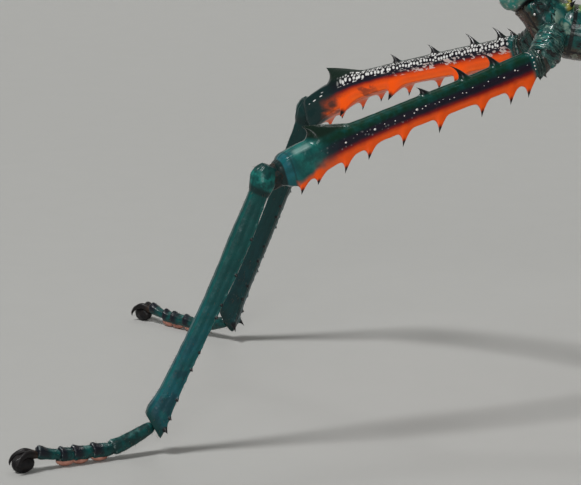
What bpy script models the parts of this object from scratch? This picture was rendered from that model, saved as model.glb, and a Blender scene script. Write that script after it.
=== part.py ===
"""A giant stick insect (a male Achrioptera) as a still, life-size model.

Sizes below are in millimetres and degrees. The insect heads along -Y, its left side is +X
and the floor is z = 0. It is modelled with y = 0 at the front hips, then moved by SHIFT_Y
so that the part's origin is on the floor under the middle of its bounding box.
"""

import math

import bmesh
import bpy
from mathutils import Matrix, Vector

MM = 0.001
SHIFT_Y = -46.5
GAP = 0.3  # left between neighbouring solids

# The line of the trunk: its height at the front of the mesothorax, and how it falls.
TRUNK_START = 3.9
TRUNK_HEIGHT = 44.4
TRUNK_SLOPE = -0.1736
TRUNK_BEND = 0.000568

# Trunk segments from the front: name, length, colour name.
TRUNK = (
    ("mesothorax", 28.1, "green"),
    ("metathorax", 16.4, "teal"),
    ("abdomen_2", 11.0, "teal"),
    ("abdomen_3", 14.0, "teal"),
    ("abdomen_4", 15.0, "teal"),
    ("abdomen_5", 15.0, "teal"),
    ("abdomen_6", 13.0, "teal"),
    ("abdomen_7", 10.0, "teal"),
    ("abdomen_8", 7.5, "teal"),
    ("abdomen_9", 6.5, "teal"),
    ("abdomen_10", 5.5, "teal"),
)

# Half width and half height of the trunk at some distances from its front end.
TRUNK_PROFILE = (
    (0.0, 3.3, 3.2),
    (12.0, 3.2, 2.8),
    (28.0, 3.9, 3.0),
    (44.5, 3.8, 2.8),
    (58.0, 3.2, 2.5),
    (90.0, 2.8, 2.2),
    (118.0, 2.5, 2.0),
    (130.0, 2.9, 2.2),
    (142.0, 2.0, 1.4),
)

# The raised forebody: where each segment starts, which way it points and its size.
PROTHORAX_REAR = (0.0, 2.9, 44.2)
PROTHORAX_PITCH = 55.0
HEAD_REAR = (0.0, -0.25, 48.75)
HEAD_PITCH = 50.0
EYE_RADIUS = 1.05
ANTENNA_LENGTH = 70.0
ANTENNA_LIFT = 50.0
ANTENNA_SPREAD = 17.0
ANTENNA_SAG = 4.0

# Legs: hip, then splay from straight ahead and fall below level of each length. A sink
# is how far the femur's end, and so the knee, lies below the femur's straight line, and
# a reach is how far beyond the femur's end the tibia's axis starts.
LEGS = {
    "front_left": dict(
        side=1, hip=(5.1, 0.0, 41.2), femur=(29.0, 17.6), tibia=(14.3, 65.5), shin=30.7, foot=31.3
    ),
    "front_right": dict(
        side=-1,
        hip=(-5.1, -1.4, 41.5),
        femur=(34.5, 17.3),
        tibia=(14.6, 68.7),
        shin=30.8,
        foot=38.7,
        sink=1.1,
        reach=0.0,
    ),
    "middle_left": dict(
        side=1, hip=(5.9, 31.4, 37.0), femur=(95.0, 15.0), tibia=(101.0, 75.0), shin=26.0, foot=92.0
    ),
    "middle_right": dict(
        side=-1, hip=(-5.9, 31.4, 37.0), femur=(103.0, 15.6), tibia=(97.0, 73.0), shin=26.0, foot=104.0
    ),
    "hind_left": dict(
        side=1, hip=(5.8, 47.4, 35.2), femur=(146.0, -6.0), tibia=(150.0, 72.0), shin=37.0, foot=143.0
    ),
    "hind_right": dict(
        side=-1, hip=(-5.8, 47.4, 35.2), femur=(139.0, -4.0), tibia=(143.0, 70.0), shin=37.0, foot=149.0
    ),
}

# Coxa root inside the body, femur length and thickness of each pair.
PAIRS = {
    "front": dict(root=(2.4, 2.3, 44.9), femur=33.1, thick=1.0),
    "middle": dict(root=(2.2, 30.2, 38.4), femur=27.0, thick=0.92),
    "hind": dict(root=(2.2, 45.8, 36.9), femur=35.0, thick=1.0),
}

COXA_RADIUS = 1.8
FEMUR_ARCH = 0.75  # how far the femur bends upward
FEMUR_BOW = 1.1  # how far it bends outward
TIBIA_ARCH = -0.5
KNEE_REACH = 2.4  # the tibia's axis starts this far beyond the end of the femur's
KNEE_RISE = 0.4  # and this far back along the tibia
# Share of the length, half width, half height.
FEMUR_PROFILE = (
    (0.01, 1.05, 1.45),
    (0.035, 1.28, 1.80),
    (0.25, 1.24, 1.72),
    (0.50, 1.20, 1.62),
    (0.72, 1.32, 1.75),
    (0.83, 1.55, 1.95),
    (0.92, 1.75, 2.15),
    (0.985, 1.60, 1.85),
    (1.01, 1.05, 1.20),
)
TIBIA_PROFILE = (
    (-0.045, 0.80, 0.95),
    (-0.01, 1.40, 1.60),
    (0.04, 1.25, 1.40),
    (0.09, 0.95, 1.14),
    (0.25, 1.03, 1.30),
    (0.50, 1.00, 1.15),
    (0.72, 1.00, 1.16),
    (0.88, 1.12, 1.30),
    (0.985, 1.20, 1.50),
)
TIBIA_SLANT = 0.75  # the end of the tibia reaches further below than above

# Tarsus: lengths of the five lengths, half heights, and how high each joint stands.
TARSOMERES = (4.7, 2.4, 2.25, 1.5, 2.95)
TARSUS_HALF = (0.78, 0.76, 0.76, 0.74, 0.60)
TARSUS_JOINTS = (1.22, 1.28, 1.30, 1.38, 2.05)
TARSUS_ROOT = (0.1, 0.3)  # its start from the end of the tibia's axis: along, up
CLAW_LENGTH = 2.7

# Femur spines: where along the femur, and length. Each row is one edge.
BIG_SPINES = (
    (0.05, 1.7),
    (0.125, 1.7),
    (0.245, 1.8),
    (0.415, 1.8),
    (0.555, 1.8),
    (0.69, 1.5),
    (0.78, 1.7),
    (0.89, 1.2),
    (0.95, 1.4),
)
INNER_SHIFT = {"front_left": -0.03, "front_right": 0.03}
BACK_SPINES = {
    "front_left": ((0.15, 1.7), (0.28, 1.7), (0.44, 1.0)),
    "front_right": ((0.01, 1.1), (0.07, 1.5), (0.20, 1.4), (0.39, 1.3), (0.57, 1.2)),
}
PLAIN_BACK_SPINES = ((0.18, 1.1), (0.42, 1.2))
KNEE_SPINE = 0.845  # where along the femur the large spine before the knee stands

COLOURS = {
    "teal": ((0.03, 0.20, 0.18), 0.35),
    "green": ((0.10, 0.30, 0.10), 0.4),
    "orange": ((0.75, 0.13, 0.02), 0.35),
    "dark": ((0.02, 0.03, 0.03), 0.3),
    "brown": ((0.16, 0.10, 0.07), 0.5),
    "wing": ((0.03, 0.05, 0.08), 0.5),
}

UP = Vector((0.0, 0.0, 1.0))


def clear_scene():
    for ob in list(bpy.data.objects):
        bpy.data.objects.remove(ob, do_unlink=True)
    for group in list(bpy.data.collections):
        bpy.data.collections.remove(group)


def collection(name):
    group = bpy.data.collections.new(name)
    bpy.context.scene.collection.children.link(group)
    return group


clear_scene()
PART = collection("giant_stick_insect")
CUTTERS = collection("cutters")


def material(node, colour):
    """Each node has a material of its own, in one of the named colours."""
    (red, green, blue), roughness = COLOURS[colour]
    mat = bpy.data.materials.new(node)
    mat.use_nodes = True
    shader = mat.node_tree.nodes["Principled BSDF"]
    shader.inputs["Base Color"].default_value = (red, green, blue, 1.0)
    shader.inputs["Roughness"].default_value = roughness
    shader.inputs["Metallic"].default_value = 0.0
    return mat


def add_object(name, bm, origin, group):
    """Turns a bmesh in millimetres into an object whose own origin is at the given point."""
    for vert in bm.verts:
        vert.co = (vert.co - origin) * MM
    bmesh.ops.recalc_face_normals(bm, faces=bm.faces)
    mesh = bpy.data.meshes.new(name)
    bm.to_mesh(mesh)
    bm.free()
    ob = bpy.data.objects.new(name, mesh)
    ob.location = (origin + Vector((0.0, SHIFT_Y, 0.0))) * MM
    group.objects.link(ob)
    return ob


def node(name, bm, origin, colour):
    ob = add_object(name, bm, origin, PART)
    ob.data.materials.append(material(name, colour))
    for face in ob.data.polygons:
        face.use_smooth = True
    return ob


def cutter(name, bm):
    ob = add_object(name, bm, Vector((0.0, 0.0, 0.0)), CUTTERS)
    ob.hide_render = True
    ob.display_type = "WIRE"
    return ob


def boolean(ob, tool, operation):
    mod = ob.modifiers.new(operation.lower() + "_" + tool.name, "BOOLEAN")
    mod.operation = operation
    mod.solver = "EXACT"
    mod.use_self = operation == "UNION"
    mod.object = tool


def ring(centre, side, up, half_width, half_height):
    return dict(centre=centre, side=side, up=up, w=half_width, h=half_height)


def grown(rings, by):
    """The same rings, fatter and longer, for cutting a neighbour back from this solid."""
    out = [dict(r, w=r["w"] + by, h=r["h"] + by) for r in rings]
    for end, inner in ((0, 1), (-1, -2)):
        away = (rings[end]["centre"] - rings[inner]["centre"]).normalized()
        out[end]["centre"] = rings[end]["centre"] + away * by
    return out


def bow(value, power):
    return math.copysign(abs(value) ** power, value)


def loft(rings, sides, square=2.0):
    """A closed solid through the rings. A square above 2 gives the section four edges."""
    bm = bmesh.new()
    last = len(rings) - 1
    bmesh.ops.create_grid(bm, x_segments=last, y_segments=sides, size=0.5)
    for vert in bm.verts:
        r = rings[round((vert.co.x + 0.5) * last)]
        angle = math.tau * round((vert.co.y + 0.5) * sides) / sides
        across = bow(math.cos(angle), 2.0 / square) * r["w"]
        above = bow(math.sin(angle), 2.0 / square) * r["h"]
        vert.co = r["centre"] + r["side"] * across + r["up"] * above
    bmesh.ops.remove_doubles(bm, verts=bm.verts, dist=0.0001)
    rims = [e for e in bm.edges if e.is_boundary]
    bmesh.ops.holes_fill(bm, edges=rims, sides=0)
    return bm


def add_spine(bm, foot, along, length, radius, sides=4):
    """One spine, sunk a little below its foot so that it joins what it grows from."""
    along = along.normalized()
    sink = 0.5 * radius
    turn = along.to_track_quat("Z", "Y").to_matrix().to_4x4()
    middle = foot + along * (length - sink) / 2
    bmesh.ops.create_cone(
        bm,
        cap_ends=True,
        segments=sides,
        radius1=radius,
        radius2=0.0,
        depth=length + sink,
        matrix=Matrix.Translation(middle) @ turn,
    )


def add_ball(bm, centre, side, up, front, sizes, columns=8, rows=5):
    """An ellipsoid with half sizes along side, front and up."""
    made = bmesh.ops.create_uvsphere(bm, u_segments=columns, v_segments=rows, radius=1.0)
    for vert in made["verts"]:
        x, y, z = vert.co
        vert.co = centre + side * x * sizes[0] + front * y * sizes[1] + up * z * sizes[2]


def mix(a, b, t):
    return a + (b - a) * t


def profile(table, at):
    """Half width and half height at a place, between the rows of a table, eased."""
    for low, high in zip(table, table[1:]):
        if at <= high[0]:
            t = min(max((at - low[0]) / (high[0] - low[0]), 0.0), 1.0)
            t = t * t * (3 - 2 * t)
            return mix(low[1], high[1], t), mix(low[2], high[2], t)
    return table[-1][1], table[-1][2]


# --- trunk -------------------------------------------------------------------------------


def trunk_point(s):
    """A point on the trunk's line, s along from the front of the mesothorax."""
    height = TRUNK_HEIGHT + TRUNK_SLOPE * s + TRUNK_BEND * s * s
    return Vector((0.0, TRUNK_START + s, height))


def trunk_up(s):
    slope = TRUNK_SLOPE + 2 * TRUNK_BEND * s
    return Vector((0.0, -slope, 1.0)).normalized()


def trunk_ring(s, scale=1.0):
    w, h = profile(TRUNK_PROFILE, s)
    return ring(trunk_point(s), Vector((1.0, 0.0, 0.0)), trunk_up(s), w * scale, h * scale)


def segment_rings(start, length, steps):
    """A trunk segment: rounded at both ends, a little waisted, flared at its rear."""
    rings = [trunk_ring(start + GAP / 2, 0.8)]
    for i in range(steps):
        t = 0.06 + 0.86 * i / (steps - 1)
        rings.append(trunk_ring(start + length * t, 0.95 + 0.05 * math.cos(math.tau * t)))
    rings.append(trunk_ring(start + length * 0.97, 1.02))
    rings.append(trunk_ring(start + length - GAP / 2, 0.85))
    return rings


def trunk_spine(bm, s, angle, length, radius, lean=0.35):
    """A spine on the trunk at an angle from the left side, 90 being the back."""
    r = trunk_ring(s)
    a = math.radians(angle)
    out = r["side"] * math.cos(a) + r["up"] * math.sin(a)
    foot = r["centre"] + r["side"] * r["w"] * math.cos(a) + r["up"] * r["h"] * math.sin(a)
    add_spine(bm, foot - out * 0.25, out + Vector((0.0, -lean, 0.0)), length, radius)


def trunk_starts():
    starts = {}
    at = 0.0
    for name, length, colour in TRUNK:
        starts[name] = (at, length)
        at += length
    return starts


def build_mesothorax(start, length):
    rings = segment_rings(start, length, 5)
    ob = node("mesothorax", loft(rings, 12), rings[0]["centre"], "green")
    bm = bmesh.new()
    for k in range(4):
        for angle in (66, 114):
            trunk_spine(bm, 4.0 + 5.4 * k, angle, 2.2, 0.5)
    for k in range(3):
        for angle in (12, 168):
            trunk_spine(bm, 6.0 + 6.0 * k, angle, 1.5, 0.45)
    boolean(ob, cutter("mesothorax_spines", bm), "UNION")
    return ob


def build_metathorax(start, length):
    rings = segment_rings(start, length, 4)
    ob = node("metathorax", loft(rings, 12), rings[0]["centre"], "teal")
    bm = bmesh.new()
    for angle in (14, 166):
        trunk_spine(bm, start + 4.5, angle, 1.4, 0.45)
        trunk_spine(bm, start + 9.0, angle, 1.3, 0.45)
    boolean(ob, cutter("metathorax_spines", bm), "UNION")
    return ob


def build_trunk():
    starts = trunk_starts()
    build_mesothorax(*starts["mesothorax"])
    build_metathorax(*starts["metathorax"])
    for name, length, colour in TRUNK[2:]:
        start = starts[name][0]
        rings = segment_rings(start, length, 2)
        node(name, loft(rings, 10), rings[0]["centre"], colour)


def build_tail():
    """Two cerci behind the last segment and the cup under the ninth."""
    starts = trunk_starts()
    end = sum(length for name, length, colour in TRUNK)
    for name, side in (("cercus_left", 1), ("cercus_right", -1)):
        root = trunk_point(end + GAP / 2) + Vector((side * 0.95, 0.1, -0.1))
        along = Vector((side * 0.16, 1.0, -0.16)).normalized()
        across = along.cross(UP).normalized()
        above = across.cross(along)
        sizes = ((0.0, 0.35), (0.6, 0.6), (2.4, 0.55), (3.3, 0.3))
        rings = [ring(root + along * d, across, above, r, r * 0.85) for d, r in sizes]
        node(name, loft(rings, 6), root, "brown")
    start, length = starts["abdomen_9"]
    rings = []
    for share, w, h in ((-0.35, 0.9, 0.3), (0.05, 1.6, 0.8), (0.6, 1.7, 0.9), (1.05, 0.8, 0.4)):
        s = start + share * length
        half = profile(TRUNK_PROFILE, s)[1]
        centre = trunk_point(s) - trunk_up(s) * (half + GAP + 0.35)
        rings.append(ring(centre, Vector((1.0, 0.0, 0.0)), trunk_up(s), w, h))
    ob = node("subgenital_plate", loft(rings, 8), rings[0]["centre"], "teal")
    body = [trunk_ring(start + length * t, 1.03) for t in (-1.1, -0.5, 0.0, 0.5, 0.97, 1.6, 1.85)]
    boolean(ob, cutter("plate_cut", loft(grown(body, GAP), 12)), "DIFFERENCE")


def build_wing(name, start, length, near, far, lift, colour):
    """A short wing: a curved leaf that lies on the back from one angle round to another."""
    bm = bmesh.new()
    columns, rows = 5, 3
    bmesh.ops.create_grid(bm, x_segments=columns, y_segments=rows, size=0.5)
    for vert in bm.verts:
        t = round((vert.co.x + 0.5) * columns) / columns
        v = round((vert.co.y + 0.5) * rows) / rows
        r = trunk_ring(start + length * t, 1.02)
        spread = math.sin(math.pi * (0.12 + 0.78 * t)) ** 0.6
        middle = (near + far) / 2
        angle = math.radians(mix(middle, mix(near, far, v), spread))
        raised = lift + 0.5 * t
        across = r["side"] * math.cos(angle) * (r["w"] + raised)
        above = r["up"] * math.sin(angle) * (r["h"] + raised)
        vert.co = r["centre"] + across + above
    origin = trunk_point(start)
    ob = node(name, bm, origin, colour)
    mod = ob.modifiers.new("thickness", "SOLIDIFY")
    mod.thickness = 0.55 * MM
    mod.offset = 0.0
    return ob


def build_wings():
    build_wing("tegmen_left", 22.8, 9.5, 40, 84, 1.75, "wing")
    build_wing("tegmen_right", 22.8, 9.5, 140, 96, 1.75, "wing")
    build_wing("hindwing_left", 29.6, 21.0, 32, 86, 0.75, "wing")
    build_wing("hindwing_right", 29.6, 21.0, 148, 94, 0.75, "wing")


# --- forebody ----------------------------------------------------------------------------


def pitched(pitch):
    """Forward and up for a length whose front end is raised."""
    p = math.radians(pitch)
    return Vector((0.0, -math.cos(p), math.sin(p))), Vector((0.0, math.sin(p), math.cos(p)))


def forebody_ring(rear, pitch, along, above, half_width, half_height):
    forward, up = pitched(pitch)
    centre = Vector(rear) + forward * along + up * above
    return ring(centre, Vector((1.0, 0.0, 0.0)), up, half_width, half_height)


def prothorax_rings():
    sizes = (
        (-0.6, 0.0, 2.3, 2.2),
        (0.0, 0.0, 2.9, 2.8),
        (1.8, 0.0, 3.0, 2.8),
        (3.6, 0.0, 2.85, 2.75),
        (4.9, 0.0, 2.6, 2.65),
        (5.25, 0.0, 2.1, 2.15),
    )
    return [forebody_ring(PROTHORAX_REAR, PROTHORAX_PITCH, *s) for s in sizes]


def head_rings():
    sizes = (
        (0.1, 0.0, 1.9, 1.9),
        (0.7, -0.1, 2.45, 2.6),
        (2.2, 0.0, 2.8, 2.8),
        (4.0, 0.1, 2.85, 2.7),
        (5.6, -0.1, 2.5, 2.35),
        (6.9, -0.4, 1.95, 1.85),
        (7.6, -0.6, 1.2, 1.1),
    )
    return [forebody_ring(HEAD_REAR, HEAD_PITCH, *s) for s in sizes]


def head_point(along, angle, lift=0.0):
    """A point on the head's skin, and the direction straight out of it."""
    rings = head_rings()
    forward, up = pitched(HEAD_PITCH)
    ends = [(r["centre"] - Vector(HEAD_REAR)).dot(forward) for r in rings]
    for a, b, low, high in zip(rings, rings[1:], ends, ends[1:]):
        if low <= along <= high:
            break
    t = (along - low) / (high - low)
    centre = a["centre"].lerp(b["centre"], t)
    w, h = mix(a["w"], b["w"], t), mix(a["h"], b["h"], t)
    c, s = math.cos(math.radians(angle)), math.sin(math.radians(angle))
    out = (Vector((1.0, 0.0, 0.0)) * c * h + up * s * w).normalized()
    skin = centre + Vector((1.0, 0.0, 0.0)) * c * w + up * s * h
    return skin + out * lift, out


def build_prothorax():
    rings = prothorax_rings()
    ob = node("prothorax", loft(rings, 12), rings[0]["centre"], "green")
    trunk = [trunk_ring(0.0 + GAP / 2, 0.8), trunk_ring(1.7, 1.0), trunk_ring(8.0, 1.0)]
    boolean(ob, cutter("prothorax_rear_cut", loft(grown(trunk, GAP), 16)), "DIFFERENCE")
    bm = bmesh.new()
    forward, up = pitched(PROTHORAX_PITCH)
    for along, length in ((1.9, 1.7), (4.2, 1.9)):
        for side in (-1, 1):
            foot = Vector(PROTHORAX_REAR) + forward * along + up * 2.45
            foot.x = side * 1.35
            out = up + Vector((side * 0.55, 0.0, 0.0)) + forward * 0.25
            add_spine(bm, foot - out * 0.1, out, length, 0.5)
    boolean(ob, cutter("prothorax_spines", bm), "UNION")


def build_head():
    rings = head_rings()
    ob = node("head", loft(rings, 14), rings[0]["centre"], "teal")
    neck = cutter("head_neck_cut", loft(grown(prothorax_rings(), GAP), 14))
    boolean(ob, neck, "DIFFERENCE")
    bm = bmesh.new()
    forward, up = pitched(HEAD_PITCH)
    for along, angle, length in ((1.4, 62, 1.5), (2.5, 50, 1.2), (2.9, 75, 1.9), (4.4, 66, 1.1)):
        for turn in (angle, 180 - angle):
            foot, out = head_point(along, turn, -0.15)
            add_spine(bm, foot, out + forward * 0.15, length, 0.45)
    boolean(ob, cutter("head_spines", bm), "UNION")


def build_eyes():
    skull = cutter("eye_cut", loft(grown(head_rings(), GAP), 16))
    for name, angle in (("eye_left", 22), ("eye_right", 158)):
        centre, out = head_point(4.6, angle, 0.1)
        forward, up = pitched(HEAD_PITCH)
        bm = bmesh.new()
        sizes = (EYE_RADIUS, EYE_RADIUS * 1.1, EYE_RADIUS)
        add_ball(bm, centre, Vector((1.0, 0.0, 0.0)), up, forward, sizes, 10, 6)
        ob = node(name, bm, centre, "brown")
        boolean(ob, skull, "DIFFERENCE")


def build_mouthparts():
    """Upper lip, jaws and palps, which read as one piece below the front of the head."""
    forward, up = pitched(HEAD_PITCH)
    across = Vector((1.0, 0.0, 0.0))
    root = Vector(HEAD_REAR) + forward * 7.4 - up * 1.9
    bm = bmesh.new()
    add_ball(bm, root, across, up, forward, (1.75, 1.40, 1.35), 12, 7)
    ob = node("mouthparts", bm, root, "brown")
    palps = bmesh.new()
    for side in (-1, 1):
        foot = root + across * side * 0.75 - up * 0.45 + forward * 0.1
        add_spine(palps, foot, forward * 0.45 - up + across * side * 0.35, 1.7, 0.36, 6)
        foot = root + across * side * 0.35 - up * 0.4 + forward * 0.55
        add_spine(palps, foot, forward * 0.6 - up, 1.1, 0.3, 6)
    boolean(ob, cutter("palps", palps), "UNION")
    boolean(ob, cutter("mouth_cut", loft(grown(head_rings(), GAP), 14)), "DIFFERENCE")


def antenna_line(side):
    """The points of one feeler, held up and forward and sagging a little at its end."""
    root, out = head_point(5.7, 90 - side * 44, GAP + 0.05)
    lift, spread = math.radians(ANTENNA_LIFT), math.radians(ANTENNA_SPREAD)
    along = Vector(
        (side * math.sin(spread), -math.cos(spread) * math.cos(lift), math.sin(lift))
    ).normalized()
    points = []
    for k in range(15):
        t = k / 14
        sag = UP * -ANTENNA_SAG * t * t + Vector((side * 2.0 * t * t, 0.0, 0.0))
        points.append(root + along * ANTENNA_LENGTH * t + sag)
    return points


def build_antennae():
    for name, side in (("antenna_left", 1), ("antenna_right", -1)):
        points = antenna_line(side)
        first = points[0]
        curve = bpy.data.curves.new(name, "CURVE")
        curve.dimensions = "3D"
        curve.bevel_depth = 1.0 * MM
        curve.bevel_resolution = 1
        curve.use_fill_caps = True
        line = curve.splines.new("POLY")
        line.points.add(len(points) + 1)
        shape = [(0.0, 0.50), (0.025, 0.55), (0.045, 0.42)]
        rest = [(k / 14, mix(0.42, 0.26, k / 14)) for k in range(1, 15)]
        for point, (t, radius) in zip(line.points, shape + rest[:-1] + [(1.0, 0.26)]):
            at = min(t * 14, 13.999)
            low = int(at)
            place = points[low].lerp(points[low + 1], at - low)
            point.co = ((place - first) * MM).to_4d()
            point.co.w = 1.0
            point.radius = radius
        holder = bpy.data.objects.new(name + "_curve", curve)
        holder.location = (first + Vector((0.0, SHIFT_Y, 0.0))) * MM
        PART.objects.link(holder)
        bpy.context.view_layer.update()
        graph = bpy.context.evaluated_depsgraph_get()
        mesh = bpy.data.meshes.new_from_object(holder.evaluated_get(graph))
        bm = bmesh.new()
        bm.from_mesh(mesh)
        bmesh.ops.remove_doubles(bm, verts=bm.verts, dist=0.000002)
        bmesh.ops.recalc_face_normals(bm, faces=bm.faces)
        bm.to_mesh(mesh)
        bm.free()
        mesh.name = name
        ob = bpy.data.objects.new(name, mesh)
        ob.matrix_world = holder.matrix_world.copy()
        PART.objects.link(ob)
        ob.data.materials.append(material(name, "dark"))
        for face in ob.data.polygons:
            face.use_smooth = True
        bpy.data.objects.remove(holder, do_unlink=True)


# --- legs --------------------------------------------------------------------------------


def direction(side, splay, fall):
    s, f = math.radians(splay), math.radians(fall)
    return Vector((side * math.sin(s) * math.cos(f), -math.cos(s) * math.cos(f), -math.sin(f)))


def axes(along, side):
    """The back of a leg's length and its outer side, square to its direction."""
    up = (UP - along * along.dot(UP)).normalized()
    return up, up.cross(along) * side


def leg_points(name):
    """Hip, knee, the end of the tibia and the joints of the tarsus."""
    leg, pair = LEGS[name], PAIRS[name.split("_")[0]]
    hip = Vector(leg["hip"])
    knee = hip + direction(leg["side"], *leg["femur"]) * pair["femur"]
    thigh, shin = direction(leg["side"], *leg["femur"]), direction(leg["side"], *leg["tibia"])
    top = knee + thigh * leg.get("reach", KNEE_REACH) - shin * (KNEE_RISE - leg.get("sink", 0.0))
    ankle = top + shin * leg["shin"]
    joints = [ankle + shin * TARSUS_ROOT[0] + axes(shin, leg["side"])[0] * TARSUS_ROOT[1]]
    level = direction(leg["side"], leg["foot"], 0.0)
    for length, height in zip(TARSOMERES, TARSUS_JOINTS):
        drop = height - joints[-1].z
        run = math.sqrt(max(length * length - drop * drop, 0.0))
        joints.append(joints[-1] + level * run + UP * drop)
    return hip, knee, top, ankle, joints


def limb_rings(start, end, side, table, arch, bow_out, skew, thick, sink=0.0):
    """Rings along a limb that bends upward by arch and outward, and sinks towards its end."""
    along = (end - start).normalized()
    up, out = axes(along, side)
    rings = []
    for share, w, h in table:
        part = max(share, 0.0)
        centre = start.lerp(end, share) + up * arch * math.sin(math.pi * part**skew)
        centre = centre + out * bow_out * math.sin(math.pi * part)
        centre = centre - up * sink * max((part - 0.7) / 0.3, 0.0) ** 2
        rings.append(ring(centre, out, up, w * thick, h * thick))
    return rings


def femur_rings(name):
    leg, pair = LEGS[name], PAIRS[name.split("_")[0]]
    hip, knee, top, ankle, joints = leg_points(name)
    shape = (FEMUR_ARCH, FEMUR_BOW, 1.4)
    sink = leg.get("sink", 0.0)
    return limb_rings(hip, knee, leg["side"], FEMUR_PROFILE, *shape, pair["thick"], sink)


def tibia_rings(name):
    leg, pair = LEGS[name], PAIRS[name.split("_")[0]]
    hip, knee, top, ankle, joints = leg_points(name)
    shape = (TIBIA_ARCH, 0.0, 0.8)
    rings = limb_rings(top, ankle, leg["side"], TIBIA_PROFILE, *shape, pair["thick"])
    rings[-1]["up"] = rings[-1]["up"] - (ankle - top).normalized() * TIBIA_SLANT
    return rings


def limb_spine(bm, rings, table, share, corner, length, radius, lean):
    """A spine on a limb: corner is how far outward and upward it stands on the section."""
    for a, b, low, high in zip(rings, rings[1:], table, table[1:]):
        if low[0] <= share <= high[0]:
            break
    t = (share - low[0]) / (high[0] - low[0])
    w, h = mix(a["w"], b["w"], t), mix(a["h"], b["h"], t)
    across, above = corner
    foot = a["centre"].lerp(b["centre"], t)
    foot = foot + a["side"] * across * w * 0.78 + a["up"] * above * h * 0.78
    along = (rings[-1]["centre"] - rings[0]["centre"]).normalized()
    out = a["up"] * above + a["side"] * across * 0.3 + along * lean
    add_spine(bm, foot, out, length + radius * 0.5, radius)


def build_coxa(name):
    """Coxa and trochanter: a short drum from the body's side to the start of the femur."""
    leg, pair = LEGS[name], PAIRS[name.split("_")[0]]
    hip, knee = leg_points(name)[:2]
    root = Vector((pair["root"][0] * leg["side"], pair["root"][1], pair["root"][2]))
    thigh = (knee - hip).normalized()
    r = COXA_RADIUS * pair["thick"]
    end = hip - thigh * 1.2
    along = (end - root).normalized()
    up, out = axes(along, leg["side"])
    shares = ((0.0, 0.8), (0.35, 0.97), (0.7, 1.0), (1.0, 0.9), (1.17, 0.5))
    rings = [ring(root.lerp(end, t), out, up, r * k, r * k) for t, k in shares]
    ob = node("coxa_" + name, loft(rings, 10), root, "teal")
    up, out = axes(thigh, leg["side"])
    sizes = ((-1.9, 0.6), (-1.2, 0.85), (-0.7, 0.95), (-GAP, 0.82))
    rings = [ring(hip + thigh * d, out, up, r * k * 0.85, r * k) for d, k in sizes]
    boolean(ob, cutter("trochanter_" + name, loft(rings, 8)), "UNION")
    femur = cutter("thigh_cut_" + name, loft(grown(femur_rings(name), GAP), 8, 3.0))
    boolean(ob, femur, "DIFFERENCE")
    if name.startswith("front"):
        body = loft(grown(prothorax_rings(), GAP), 14)
        boolean(ob, cutter("coxa_cut_" + name, body), "DIFFERENCE")
        front = [trunk_ring(GAP / 2, 0.8), trunk_ring(1.7, 1.0), trunk_ring(8.0, 1.0)]
        boolean(ob, cutter("coxa_rear_cut_" + name, loft(grown(front, GAP), 16)), "DIFFERENCE")
    else:
        first = trunk_starts()["mesothorax" if name.startswith("middle") else "metathorax"]
        cut = loft(grown([trunk_ring(first[0] + first[1] * k / 5, 1.02) for k in range(6)], GAP), 16)
        boolean(ob, cutter("coxa_cut_" + name, cut), "DIFFERENCE")


def build_femur(name):
    rings = femur_rings(name)
    ob = node("femur_" + name, loft(rings, 8, 3.0), leg_points(name)[0], "orange")
    bm = bmesh.new()
    front = name.startswith("front")
    for across in (1, -1):
        shift = 0.0 if across > 0 else INNER_SHIFT.get(name, 0.03)
        for share, length in BIG_SPINES if front and across > 0 else BIG_SPINES[2::2]:
            place = min(share + shift, 0.96)
            lean = 0.45 + 0.25 * share
            grow = length if front else length * 0.75
            limb_spine(bm, rings, FEMUR_PROFILE, place, (across, -1), grow, 0.5, lean)
    for share, length in BACK_SPINES.get(name, PLAIN_BACK_SPINES):
        limb_spine(bm, rings, FEMUR_PROFILE, share, (0.0, 1.25), length, 0.42, 0.6)
    limb_spine(bm, rings, FEMUR_PROFILE, KNEE_SPINE, (0.0, 1.1), 2.6, 0.95, 1.5)
    boolean(ob, cutter("femur_spines_" + name, bm), "UNION")


def build_tibia(name):
    rings = tibia_rings(name)
    ob = node("tibia_" + name, loft(rings, 8, 3.0), leg_points(name)[2], "teal")
    thigh = cutter("knee_cut_" + name, loft(grown(femur_rings(name), GAP), 8, 3.0))
    boolean(ob, thigh, "DIFFERENCE")
    bm = bmesh.new()
    for across in (1, -1):
        limb_spine(bm, rings, TIBIA_PROFILE, 0.955, (across, -1), 1.1, 0.38, 0.9)
        share = 0.55 + 0.13 * across
        limb_spine(bm, rings, TIBIA_PROFILE, share, (across, -1), 0.6, 0.26, 0.5)
    boolean(ob, cutter("tibia_spines_" + name, bm), "UNION")


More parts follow.
